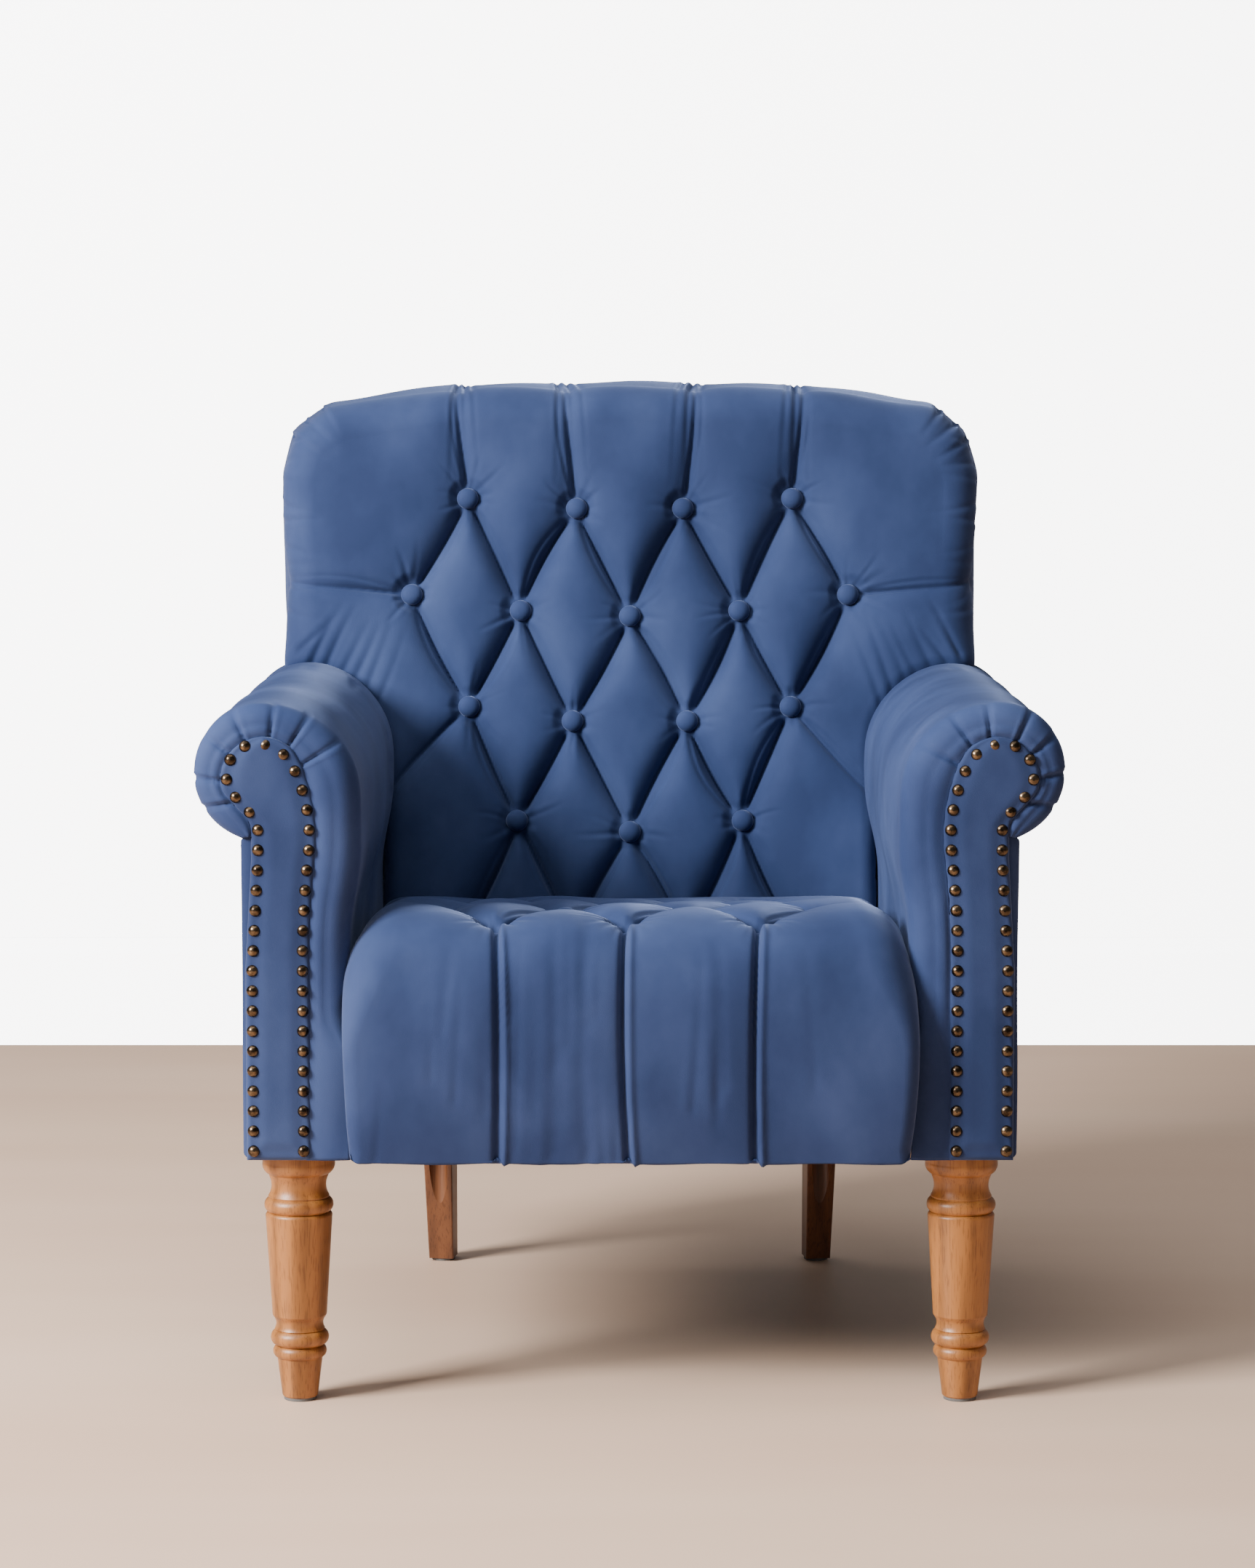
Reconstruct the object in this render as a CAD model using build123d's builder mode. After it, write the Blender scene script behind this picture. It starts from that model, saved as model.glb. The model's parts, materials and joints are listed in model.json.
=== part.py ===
"""Button-tufted armchair with rolled, nail-trimmed arms on turned oak front legs and raked rear legs.

Millimetres. The front faces -Y, +Z is up, and the origin is on the floor under the middle of the chair.
Left is the -X side, which is on the left for someone who faces the chair.
"""

import os
from math import atan2, cos, degrees, sin, tan

from build123d import *

os.makedirs("parts", exist_ok=True)

# Overall size
TOTAL_WIDTH = 792
TOTAL_HEIGHT = 930
TOTAL_DEPTH = 810

# Legs and the underside
PAD_T = 3
BASE_Z = 230
DUST_T = 1.5
FRAME_Z = BASE_Z + DUST_T
FRONT_LEG_X = 304
FRONT_LEG_Y = -330
REAR_LEG_X = 203
REAR_FOOT_Y = 300
REAR_BOLT_Y = 264.4

# Base frame
RAIL_T = 25
RAIL_H = 90
BASE_HALF = 350
PANEL_T = 4
FRAME_HALF = BASE_HALF - PANEL_T
FRONT_RAIL_Y = -369
REAR_RAIL_Y = 269
BOARD_T = 18
BOARD_Y = FRONT_RAIL_Y
SIDE_RAIL_X = FRAME_HALF - RAIL_T
BOARD_IN = 293

# Arms
ARM_IN = 254
ARM_WAIST = 244
ARM_TOP_Z = 646
ROLL_X = 332
ROLL_FOOT_Z = 524
ARM_BACK_Y = 239
FACING_T = 6
FACING_Y = BOARD_Y - FACING_T
COVER_T = 2

# Seat
SEAT_HALF = 252
SEAT_FRONT_Y = -TOTAL_DEPTH / 2
SEAT_TOP_Z = 457
DECK_Z = 330
DECK_T = 1.5
SPRING_Z = 325.5
WIRE_R = 1.8
SPRING_COUNT = 5

# Back: both faces lean, so each is given by its place at the base and at the top
BACK_REAR_LOW_Y = 300
BACK_REAR_TOP = (TOTAL_DEPTH / 2 - 0.2, 910)
BACK_FRONT_LOW = (110, 345)
BACK_FRONT_TOP = (255, 888)
UPRIGHT_D = 52
UPRIGHT_T = 25
UPRIGHT_IN = 314
UPRIGHT_TOP_Z = 874

# Buttons: one list per row, as (x, z) on the back and (x, y) on the seat
BACK_ROWS = [
    [(-168, 818), (-56, 807), (56, 807), (168, 818)],
    [(-226, 719), (-114, 703), (0, 697), (114, 703), (226, 719)],
    [(-166, 605), (-59, 590), (59, 590), (166, 605)],
    [(-115, 489), (0, 478), (115, 489)],
]
SEAT_PITCH = 120
SEAT_ROW_Y = [-335, -238, -141, -44, 53]
BUTTON_R = 10.5
POCKET_R = 14
POCKET_DEPTH = 30
TWINE_R = 1

# Nails
NAIL_R = 5.6
NAIL_PITCH = 18.2
NAIL_INSET = 7


def wall(y):
    """A sketch plane that stands across the chair at depth y, seen from the front; +amount runs to the front."""
    return Plane.XZ.offset(-y)


def side_wall(x):
    """A sketch plane along the chair at x, with local axes Y and Z; +amount runs towards +X."""
    return Plane.YZ.offset(x)


def save(part, name):
    """Labels a finished piece and writes its STEP file."""
    part.label = name
    export_step(part, f"parts/{name}.step")


def save_pair(part, name):
    """Writes a right-hand piece and its mirror image for the left side of the chair."""
    save(part, f"right_{name}")
    save(mirror(part, about=Plane.YZ), f"left_{name}")


def save_both(part, name):
    """Writes a right-hand piece and its mirror image as one node of separate solids."""
    save(Compound(children=[*part.solids(), *mirror(part, about=Plane.YZ).solids()]), name)


def lean(z, low, top):
    """Depth at height z on a leaning line from low to top, each (y, z)."""
    return low[0] + (top[0] - low[0]) * (z - low[1]) / (top[1] - low[1])


def frame_rear_y(z):
    """Depth of the back frame's rear face at height z."""
    return lean(z, (BACK_REAR_LOW_Y - PANEL_T, BASE_Z), (BACK_REAR_TOP[0] - PANEL_T, BACK_REAR_TOP[1]))


def frame_front_y(z):
    """Depth of the back frame's front face at height z."""
    return frame_rear_y(z) - UPRIGHT_D


def back_face_y(z):
    """Depth of the padded front of the back at height z."""
    return lean(z, BACK_FRONT_LOW, BACK_FRONT_TOP)


FRONT_LEAN = atan2(BACK_FRONT_TOP[0] - BACK_FRONT_LOW[0], BACK_FRONT_TOP[1] - BACK_FRONT_LOW[1])


# ---------------------------------------------------------------- legs

# Front leg: one turning of oak, drilled in its top for a hanger bolt
BOLT_R = 4
BOLT_IN_LEG = 35
BOLT_IN_BLOCK = 44

with BuildPart() as front_leg:
    with BuildSketch(Plane.XZ):
        with BuildLine():
            Line((0, PAD_T), (15.4, PAD_T))
            Line((15.4, PAD_T), (16.4, 4.2))
            Line((16.4, 4.2), (20.8, 39.5))
            ThreePointArc((20.8, 39.5), (24.7, 45.4), (21.6, 51))
            ThreePointArc((21.6, 51), (26.8, 58.2), (22.6, 65.4))
            Line((22.6, 65.4), (23.2, 66.2))
            ThreePointArc((23.2, 66.2), (21.7, 71), (22.6, 75.6))
            Line((22.6, 75.6), (25, 79.5))
            Line((25, 79.5), (30.6, 171))
            ThreePointArc((30.6, 171), (30.1, 173.9), (28, 175.4))
            ThreePointArc((28, 175.4), (31.7, 182.4), (27.6, 189))
            Line((27.6, 189), (28, 190.4))
            ThreePointArc((28, 190.4), (25.1, 200.5), (27, 208.4))
            Line((27, 208.4), (27.6, 210.6))
            ThreePointArc((27.6, 210.6), (32.2, 215), (33.2, 222))
            Line((33.2, 222), (33, BASE_Z))
            Line((33, BASE_Z), (0, BASE_Z))
            Line((0, BASE_Z), (0, PAD_T))
        make_face()
    revolve(axis=Axis.Z)
    with Locations((0, 0, BASE_Z)):
        Hole(BOLT_R, depth=BOLT_IN_LEG)
save_pair(front_leg.part.moved(Location((FRONT_LEG_X, FRONT_LEG_Y, 0))), "front_leg")

# Hanger bolt: its lower end screws into the leg, its upper end into the T-nut
with BuildPart() as hanger_bolt:
    with Locations((FRONT_LEG_X, FRONT_LEG_Y, BASE_Z - BOLT_IN_LEG)):
        Cylinder(BOLT_R, BOLT_IN_LEG + BOLT_IN_BLOCK, align=(Align.CENTER, Align.CENTER, Align.MIN))
    chamfer(hanger_bolt.faces().sort_by(Axis.Z)[-1].edges(), 0.8)
save_both(hanger_bolt.part, "hanger_bolts")

# Rear leg: a tapered square of oak that rakes back, with a straight-up counterbore that breaks out of its front
REAR_TOP_Y = 262
REAR_TWIST = 8
POCKET_TOP_Z = 190
LEG_POCKET_R = 10

with BuildPart() as rear_leg:
    with BuildSketch(Plane((REAR_LEG_X - 4, REAR_FOOT_Y, PAD_T))):
        Rectangle(26, 28, rotation=REAR_TWIST)
    with BuildSketch(Plane((REAR_LEG_X, REAR_TOP_Y, BASE_Z))):
        Rectangle(35, 38, rotation=REAR_TWIST)
    loft(ruled=True)
    fillet(rear_leg.edges().filter_by(lambda e: abs(e.tangent_at(0.5).Z) > 0.8), 1.5)
    with Locations((REAR_LEG_X, REAR_BOLT_Y, 0)):
        Cylinder(LEG_POCKET_R, POCKET_TOP_Z, align=(Align.CENTER, Align.CENTER, Align.MIN), mode=Mode.SUBTRACT)
        Cylinder(BOLT_R, BASE_Z, align=(Align.CENTER, Align.CENTER, Align.MIN), mode=Mode.SUBTRACT)
save_pair(rear_leg.part, "rear_leg")

# Rear leg bolt: its head bears on a washer at the top of the counterbore
with BuildPart() as rear_bolt:
    with Locations((REAR_LEG_X, REAR_BOLT_Y, POCKET_TOP_Z - 2)):
        Cylinder(BOLT_R, 83, align=(Align.CENTER, Align.CENTER, Align.MIN))
        Cylinder(6.5, 5.5, align=(Align.CENTER, Align.CENTER, Align.MAX))
    with BuildSketch(Plane((REAR_LEG_X, REAR_BOLT_Y, POCKET_TOP_Z - 7.5))):
        RegularPolygon(3.4, 6)
    extrude(amount=3.5, mode=Mode.SUBTRACT)
save_both(rear_bolt.part, "rear_leg_bolts")

with BuildPart() as washer:
    with BuildSketch(Plane((REAR_LEG_X, REAR_BOLT_Y, POCKET_TOP_Z - 2))):
        Circle(8.5)
        Circle(BOLT_R, mode=Mode.SUBTRACT)
    extrude(amount=2)
save_both(washer.part, "rear_leg_washers")

# Felt pads, each nailed under a foot
for pad_name, pad_r, pad_x, pad_y in (
    ("front_foot_pads", 15, FRONT_LEG_X, FRONT_LEG_Y),
    ("rear_foot_pads", 12.5, REAR_LEG_X - 4, REAR_FOOT_Y),
):
    with BuildPart() as foot_pad:
        with Locations((pad_x, pad_y, 0)):
            Cylinder(pad_r, PAD_T, align=(Align.CENTER, Align.CENTER, Align.MIN))
        fillet(foot_pad.faces().sort_by(Axis.Z)[0].edges(), 0.6)
    save_both(foot_pad.part, pad_name)


# ---------------------------------------------------------------- base frame

FRONT_RAIL_BACK = FRONT_RAIL_Y + RAIL_T
BOARD_BACK = BOARD_Y + BOARD_T
REAR_BOARD_Y = ARM_BACK_Y - BOARD_T
REAR_RAIL_BACK = REAR_RAIL_Y + RAIL_T
RAIL_TOP = FRAME_Z + RAIL_H
DOWEL_R = 4
DOWEL_HALF = 20

# Cross rails of the back, each from a low to a high level
CROSS_T = 22
BACK_RAILS = {"back_lower_rail": (395, 455), "back_middle_rail": (610, 670), "back_crest_rail": (820, 905)}

# Dowels: two at each end of every rail that butts against an arm board or a back upright
with BuildPart() as dowels:
    spots = [(BOARD_IN, FRONT_RAIL_Y + 12, FRAME_Z + rise) for rise in (25, 65)]
    spots += [(UPRIGHT_IN, REAR_RAIL_Y + 9, FRAME_Z + rise) for rise in (25, 65)]
    for low, _ in BACK_RAILS.values():
        spots += [(UPRIGHT_IN, frame_front_y(low + rise) + CROSS_T / 2, low + rise) for rise in (15, 45)]
    with Locations(*[Location(spot, (0, 90, 0)) for spot in spots]):
        Cylinder(DOWEL_R, 2 * DOWEL_HALF)
    mirror(about=Plane.YZ)

with BuildPart() as front_rail:
    with BuildSketch(Plane.XY.offset(FRAME_Z)):
        with Locations((0, FRONT_RAIL_Y + RAIL_T / 2)):
            Rectangle(2 * BOARD_IN, RAIL_T)
    extrude(amount=RAIL_H)
    add(dowels.part, mode=Mode.SUBTRACT)
save(front_rail.part, "front_seat_rail")

with BuildPart() as rear_rail:
    with BuildSketch(Plane.XY.offset(FRAME_Z)):
        with Locations((0, REAR_RAIL_Y + RAIL_T / 2)):
            Rectangle(2 * UPRIGHT_IN, RAIL_T)
    extrude(amount=RAIL_H)
    add(dowels.part, mode=Mode.SUBTRACT)
save(rear_rail.part, "rear_seat_rail")
save(dowels.part, "rail_dowels")

with BuildPart() as side_rail:
    with BuildSketch(Plane.XY.offset(FRAME_Z)):
        with Locations(((SIDE_RAIL_X + FRAME_HALF) / 2, (BOARD_BACK + REAR_BOARD_Y) / 2)):
            Rectangle(RAIL_T, REAR_BOARD_Y - BOARD_BACK)
    extrude(amount=RAIL_H)
save_pair(side_rail.part, "side_seat_rail")

# Front corner block, which takes the leg's T-nut from above
BLOCK_H = 40
TNUT_R = 5.2
TNUT_L = 12
with BuildPart() as t_nut:
    with Locations((FRONT_LEG_X, FRONT_LEG_Y, FRAME_Z + BLOCK_H)):
        Cylinder(TNUT_R, TNUT_L, align=(Align.CENTER, Align.CENTER, Align.MAX))
        Cylinder(11, 1.5, align=(Align.CENTER, Align.CENTER, Align.MIN))
        Cylinder(BOLT_R, 60, mode=Mode.SUBTRACT)
save_both(t_nut.part, "t_nuts")

with BuildPart() as corner_block:
    with BuildSketch(Plane.XY.offset(FRAME_Z)):
        with BuildLine():
            Polyline(
                (SIDE_RAIL_X, BOARD_BACK),
                (SIDE_RAIL_X, -240),
                (298, -240),
                (205, -318),
                (205, FRONT_RAIL_BACK),
                (BOARD_IN, FRONT_RAIL_BACK),
                (BOARD_IN, BOARD_BACK),
                close=True,
            )
        make_face()
    extrude(amount=BLOCK_H)
    with Locations((FRONT_LEG_X, FRONT_LEG_Y, FRAME_Z)):
        Cylinder(BOLT_R + 0.5, 2 * BLOCK_H, mode=Mode.SUBTRACT)
    with Locations((FRONT_LEG_X, FRONT_LEG_Y, FRAME_Z + BLOCK_H)):
        Cylinder(TNUT_R, TNUT_L, align=(Align.CENTER, Align.CENTER, Align.MAX), mode=Mode.SUBTRACT)
save_both(corner_block.part, "corner_blocks")

# Rear leg block, glued to the front of the rear rail
with BuildPart() as leg_block:
    with BuildSketch(Plane.XY.offset(FRAME_Z)):
        with Locations((REAR_LEG_X, REAR_RAIL_Y - 25)):
            Rectangle(80, 50)
    extrude(amount=BLOCK_H)
    with Locations((REAR_LEG_X, REAR_BOLT_Y, FRAME_Z)):
        Cylinder(BOLT_R, 2 * BLOCK_H, mode=Mode.SUBTRACT)
    chamfer(leg_block.edges().filter_by(Axis.Z).sort_by(Axis.Y)[:2], 12)
save_both(leg_block.part, "rear_leg_blocks")


# ---------------------------------------------------------------- arms

# The facing's outline: a straight shank with a scroll head that leans out over the chair's side
FACING_IN = 289
FACING_OUT = 348
HEAD_TOP = (330.5, 616)
HEAD_OUT = (369.5, 579)


def facing_lines():
    """The closed outline of the arm's front, drawn into the open BuildLine."""
    inner = Line((FACING_IN, BASE_Z), (FACING_IN, 405))
    waist = TangentArc(inner @ 1, (283, 510), tangent=(0, 1))
    neck = TangentArc(waist @ 1, (297, 595), tangent=waist % 1)
    crown = TangentArc(neck @ 1, HEAD_TOP, tangent=neck % 1)
    TangentArc(HEAD_TOP, HEAD_OUT, tangent=crown % 1)
    ThreePointArc(HEAD_OUT, (368.4, 569), (362.5, 560))
    under = Line((362.5, 560), (348.5, 545))
    throat = TangentArc(under @ 1, (342, 526), tangent=under % 1)
    Polyline(throat @ 1, (342, 505), (FACING_OUT, 405), (FACING_OUT, BASE_Z), (FACING_IN, BASE_Z))


def roll_lines():
    """The closed outline of the padded arm, drawn into the open BuildLine."""
    shoulder_r = ROLL_X - ARM_WAIST
    crown_r = TOTAL_WIDTH / 2 - ROLL_X
    Polyline((ARM_IN, BASE_Z), (ARM_IN, 451), (ARM_WAIST, 505), (ARM_WAIST, ARM_TOP_Z - shoulder_r))
    RadiusArc((ARM_WAIST, ARM_TOP_Z - shoulder_r), (ROLL_X, ARM_TOP_Z), shoulder_r)
    crown = RadiusArc((ROLL_X, ARM_TOP_Z), (TOTAL_WIDTH / 2, ARM_TOP_Z - crown_r), crown_r)
    TangentArc(crown @ 1, (BASE_HALF, ROLL_FOOT_Z), tangent=crown % 1)
    Line((BASE_HALF, ROLL_FOOT_Z), (BASE_HALF, BASE_Z))
    Line((BASE_HALF, BASE_Z), (ARM_IN, BASE_Z))


with BuildSketch() as facing_shape:
    with BuildLine():
        facing_lines()
    make_face()
with BuildSketch() as board_shape:
    add(facing_shape.sketch)
    offset(amount=-COVER_T, mode=Mode.REPLACE)
with BuildSketch() as roll_shape:
    with BuildLine():
        roll_lines()
    make_face()
with BuildSketch() as roll_inner_shape:
    add(roll_shape.sketch)
    offset(amount=-COVER_T, mode=Mode.REPLACE)

# The parts of the arm's outline that the padding leaves free: the hollow under the roll, and the base frame's room
HOLLOW_TOP_Z = ROLL_FOOT_Z - COVER_T
with BuildSketch() as arm_hollow:
    add(facing_shape.sketch)
    with Locations((BOARD_IN, BASE_Z)):
        Rectangle(80, HOLLOW_TOP_Z - BASE_Z, align=(Align.MIN, Align.MIN))
with BuildSketch() as base_room:
    with Locations((ARM_WAIST, BASE_Z)):
        Rectangle(200, RAIL_TOP + 1 - BASE_Z, align=(Align.MIN, Align.MIN))


def nail_places():
    """Nail centres, evenly spaced along a line that runs inside the facing's edge, from foot to foot over the head."""
    shank_in = NAIL_INSET + FACING_IN
    with BuildLine() as path:
        inner = Line((shank_in, BASE_Z + 9), (shank_in, 405))
        waist = TangentArc(inner @ 1, (290, 510), tangent=(0, 1))
        neck = TangentArc(waist @ 1, (303, 588), tangent=waist % 1)
        crown = TangentArc(neck @ 1, (331.5, 609), tangent=neck % 1)
        outer = TangentArc(crown @ 1, (362.7, 579), tangent=crown % 1)
        ThreePointArc(outer @ 1, (361.6, 571.5), (357.5, 565))
        under = Line((357.5, 565), (342, 548))
        throat = TangentArc(under @ 1, (335, 526), tangent=under % 1)
        shank_out = FACING_OUT - NAIL_INSET
        Polyline(throat @ 1, (335, 505), (shank_out, 405), (shank_out, BASE_Z + 9))
    wire = path.wire()
    count = round(wire.length / NAIL_PITCH)
    return [wire.position_at(i / count) for i in range(count + 1)]


# Decorative nail: a domed head on a short shank
NAIL_DOME = 4
NAIL_SHANK_R = 0.9
NAIL_SHANK_L = 12
with BuildPart() as nail:
    with BuildSketch(Plane.XZ):
        with BuildLine():
            TangentArc((0, -NAIL_DOME), (NAIL_R, 0), tangent=(1, 0))
            Polyline((NAIL_R, 0), (NAIL_SHANK_R, 0), (NAIL_SHANK_R, NAIL_SHANK_L - 3), (0, NAIL_SHANK_L), (0, -NAIL_DOME))
        make_face()
    revolve(axis=Axis.Z)
NAIL_SPOTS = [Location((p.X, FACING_Y, p.Y), (-90, 0, 0)) for p in nail_places()]
with BuildPart() as nails:
    with Locations(*NAIL_SPOTS):
        add(nail.part)
save_pair(nails.part, "arm_nails")

# Facing: a thin board wrapped in cloth that the nails hold on
with BuildPart() as facing:
    with BuildSketch(wall(BOARD_Y)):
        add(facing_shape.sketch)
    extrude(amount=FACING_T)
    add(nails.part, mode=Mode.SUBTRACT)
save_pair(facing.part, "arm_facing")

# Front board: plywood that carries the facing, the arm rails and the front rail
with BuildPart() as arm_front_board:
    with BuildSketch(wall(BOARD_BACK)):
        add(board_shape.sketch)
        with Locations((0, BASE_Z)):
            Rectangle(2 * TOTAL_WIDTH, 2 * DUST_T, mode=Mode.SUBTRACT)
        with Locations((BOARD_IN, (BASE_Z + RAIL_TOP) / 2)):
            Rectangle(80, RAIL_TOP - BASE_Z, align=(Align.MAX, Align.CENTER), mode=Mode.SUBTRACT)
    extrude(amount=BOARD_T)
    add(dowels.part, mode=Mode.SUBTRACT)
    add(nails.part, mode=Mode.SUBTRACT)
save_pair(arm_front_board.part, "arm_front_board")

# Rear board: the same scroll, set in front of the back upright
with BuildPart() as arm_rear_board:
    with BuildSketch(wall(ARM_BACK_Y)):
        add(board_shape.sketch)
        with Locations((0, BASE_Z)):
            Rectangle(2 * TOTAL_WIDTH, 2 * DUST_T, mode=Mode.SUBTRACT)
    extrude(amount=BOARD_T)
save_pair(arm_rear_board.part, "arm_rear_board")

# Arm rails between the two boards: the roll's top rail, the outer rail under the roll and the low tacking rail
ARM_RAIL_L = REAR_BOARD_Y - BOARD_BACK
for rail_name, rail_x, rail_z, rail_w, rail_h in (
    ("arm_top_rail", 333, 591, 44, 22),
    ("arm_outer_rail", 334.5, 502, 23, 36),
    ("arm_tacking_rail", FACING_IN + 11, 395, 18, 45),
):
    with BuildPart() as arm_rail:
        with BuildSketch(wall(BOARD_BACK)):
            with Locations((rail_x, rail_z)):
                Rectangle(rail_w, rail_h)
        extrude(amount=-ARM_RAIL_L)
        fillet(arm_rail.edges().filter_by(Axis.Y), 3)
    save_pair(arm_rail.part, rail_name)

# Arm foam: a sleeve round the boards, open at the chair's outer side
with BuildPart() as arm_foam:
    with BuildSketch(wall(ARM_BACK_Y)):
        add(roll_inner_shape.sketch)
        add(arm_hollow.sketch, mode=Mode.SUBTRACT)
        add(base_room.sketch, mode=Mode.SUBTRACT)
    extrude(amount=ARM_BACK_Y - BOARD_Y)
save_pair(arm_foam.part, "arm_foam")

# Arm cover: velvet from the seat over the roll to the rail under it, turned in over the front board
with BuildPart() as arm_cover:
    with BuildSketch(wall(ARM_BACK_Y)):
        add(roll_shape.sketch)
        add(roll_inner_shape.sketch, mode=Mode.SUBTRACT)
        add(arm_hollow.sketch, mode=Mode.SUBTRACT)
        add(base_room.sketch, mode=Mode.SUBTRACT)
    extrude(amount=ARM_BACK_Y - BOARD_Y)
    with BuildSketch(wall(BOARD_Y)):
        add(roll_shape.sketch)
        add(arm_hollow.sketch, mode=Mode.SUBTRACT)
    extrude(amount=FACING_T - COVER_T)
save_pair(arm_cover.part, "arm_cover")

# Inner panel: hardboard that keeps the foam out of the arm's hollow
with BuildPart() as arm_inner_panel:
    with BuildSketch(wall(BOARD_BACK)):
        with Locations((FACING_IN, RAIL_TOP + 1)):
            Rectangle(COVER_T, 190, align=(Align.MIN, Align.MIN))
    extrude(amount=-ARM_RAIL_L)
save_pair(arm_inner_panel.part, "arm_inner_panel")

# Outside arm panel, and the small shaped cap over the roll's rear end
with BuildPart() as outside_arm:
    with BuildSketch(side_wall(FRAME_HALF)):
        with Locations(((BOARD_Y + ARM_BACK_Y) / 2, (BASE_Z + HOLLOW_TOP_Z) / 2)):
            Rectangle(ARM_BACK_Y - BOARD_Y, HOLLOW_TOP_Z - BASE_Z)
    extrude(amount=PANEL_T)
    fillet(outside_arm.edges().filter_by(Axis.Z).group_by(Axis.X)[-1], 2)
save_pair(outside_arm.part, "outside_arm_panel")

with BuildPart() as arm_rear_cap:
    with BuildSketch(wall(ARM_BACK_Y + 3)):
        add(roll_shape.sketch)
        with Locations((0, BASE_Z)):
            Rectangle(2 * TOTAL_WIDTH, 2 * DUST_T, mode=Mode.SUBTRACT)
    extrude(amount=3)
    fillet(arm_rear_cap.faces().sort_by(Axis.Y)[-1].edges().filter_by(GeomType.CIRCLE), 1.2)
save_pair(arm_rear_cap.part, "arm_rear_cap")


# ---------------------------------------------------------------- back frame

# Upright: a leaning board that carries the whole back
with BuildPart() as upright:
    with BuildSketch(side_wall(UPRIGHT_IN)):
        with BuildLine():
            Polyline(
                (frame_front_y(FRAME_Z), FRAME_Z),
                (frame_rear_y(FRAME_Z), FRAME_Z),
                (frame_rear_y(UPRIGHT_TOP_Z), UPRIGHT_TOP_Z),
                (frame_front_y(UPRIGHT_TOP_Z), UPRIGHT_TOP_Z),
                close=True,
            )
        make_face()
    extrude(amount=UPRIGHT_T)
    add(dowels.part, mode=Mode.SUBTRACT)
save_pair(upright.part, "back_upright")

# Cross rails between the uprights, flush with their front edges; the crest rail's top follows the back's outline


def cross_rail(low, high):
    """The leaning section of a cross rail between two heights, drawn into the open BuildLine."""
    Polyline(
        (frame_front_y(low), low),
        (frame_front_y(low) + CROSS_T, low),
        (frame_front_y(high) + CROSS_T, high),
        (frame_front_y(high), high),
        close=True,
    )


for rail_name, (low, high) in BACK_RAILS.items():
    with BuildPart() as back_rail:
        with BuildSketch(side_wall(-UPRIGHT_IN)):
            with BuildLine():
                cross_rail(low, high)
            make_face()
        extrude(amount=2 * UPRIGHT_IN)
        add(dowels.part, mode=Mode.SUBTRACT)
        if high > UPRIGHT_TOP_Z:
            with BuildSketch(wall(TOTAL_DEPTH)):
                with BuildLine():
                    Polyline((190, 920), (190, high), (UPRIGHT_IN, 885), (400, 870), (400, 920), close=True)
                make_face()
                mirror(about=Plane.YZ)
            extrude(amount=2 * TOTAL_DEPTH, mode=Mode.SUBTRACT)
    save(back_rail.part, rail_name)

# Webbing: upright strips tacked to the rails, and cross strips tacked to the uprights over them, one for each
# row of buttons, where the row's twines reach the webbing
WEB_T = 1.5
WEB_W = 50
WEB_MID_Z = 650
WEB_LEAN = atan2(frame_front_y(900) - frame_front_y(300), 600)
WEB_ROOM = 2 * WEB_T + 0.2


def twine_run(z):
    """The way from the padded front at height z to the webbing, square to the padded front."""
    gap = frame_front_y(z) - WEB_ROOM - back_face_y(z)
    return gap / (cos(FRONT_LEAN) + tan(WEB_LEAN) * sin(FRONT_LEAN))


with BuildPart() as webbing:
    for proud in (0, WEB_T):
        web_plane = Plane(
            origin=(0, frame_front_y(WEB_MID_Z) - proud / cos(WEB_LEAN), WEB_MID_Z),
            x_dir=(1, 0, 0),
            z_dir=(0, -cos(WEB_LEAN), sin(WEB_LEAN)),
        )
        with BuildSketch(web_plane):
            if proud:
                for row in BACK_ROWS:
                    row_z = sum(z for _, z in row) / len(row)
                    tie_z = row_z - twine_run(row_z) * sin(FRONT_LEAN)
                    with Locations((0, (tie_z - WEB_MID_Z) / cos(WEB_LEAN))):
                        Rectangle(2 * (UPRIGHT_IN + 18), WEB_W)
            else:
                with GridLocations(114, 0, 5, 1):
                    Rectangle(WEB_W, 490)
        extrude(amount=WEB_T)
save(webbing.part, "back_webbing")


# ---------------------------------------------------------------- buttons

# Covered button: a shallow dome over a shell, with a tuft on its back that the twine is tied to
BUTTON_T = 6
TUFT_R = 3
TUFT_L = 3
with BuildPart() as button:
    with BuildSketch(Plane.XZ):
        with BuildLine():
            Polyline((0, BUTTON_T), (0, -TUFT_L), (TUFT_R, -TUFT_L), (TUFT_R, 0), (BUTTON_R - 1.2, 0))
            ThreePointArc((BUTTON_R - 1.2, 0), (BUTTON_R, 1.2), (BUTTON_R - 0.6, 2.8))
            TangentArc((0, BUTTON_T), (BUTTON_R - 0.6, 2.8), tangent=(1, 0))
        make_face()
    revolve(axis=Axis.Z)


def back_spot(x, z):
    """The place of a back button: +Z out of the cloth, at the bottom of its pocket."""
    y = back_face_y(z) + POCKET_DEPTH * cos(FRONT_LEAN)
    return Location((x, y, z - POCKET_DEPTH * sin(FRONT_LEAN)), (90 - degrees(FRONT_LEAN), 0, 0))


def seat_top_z(y):
    """Height of the seat's padded top at depth y."""
    return SEAT_TOP_Z - 22 * (y - SEAT_ROW_Y[0]) / (SEAT_ROW_Y[-1] - SEAT_ROW_Y[0])


def seat_row(index):
    """The x places of a seat row: three buttons, or four on the rows between."""
    half = 1 if index % 2 == 0 else 1.5
    return [SEAT_PITCH * (i - half) for i in range(int(2 * half) + 1)]


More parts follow.
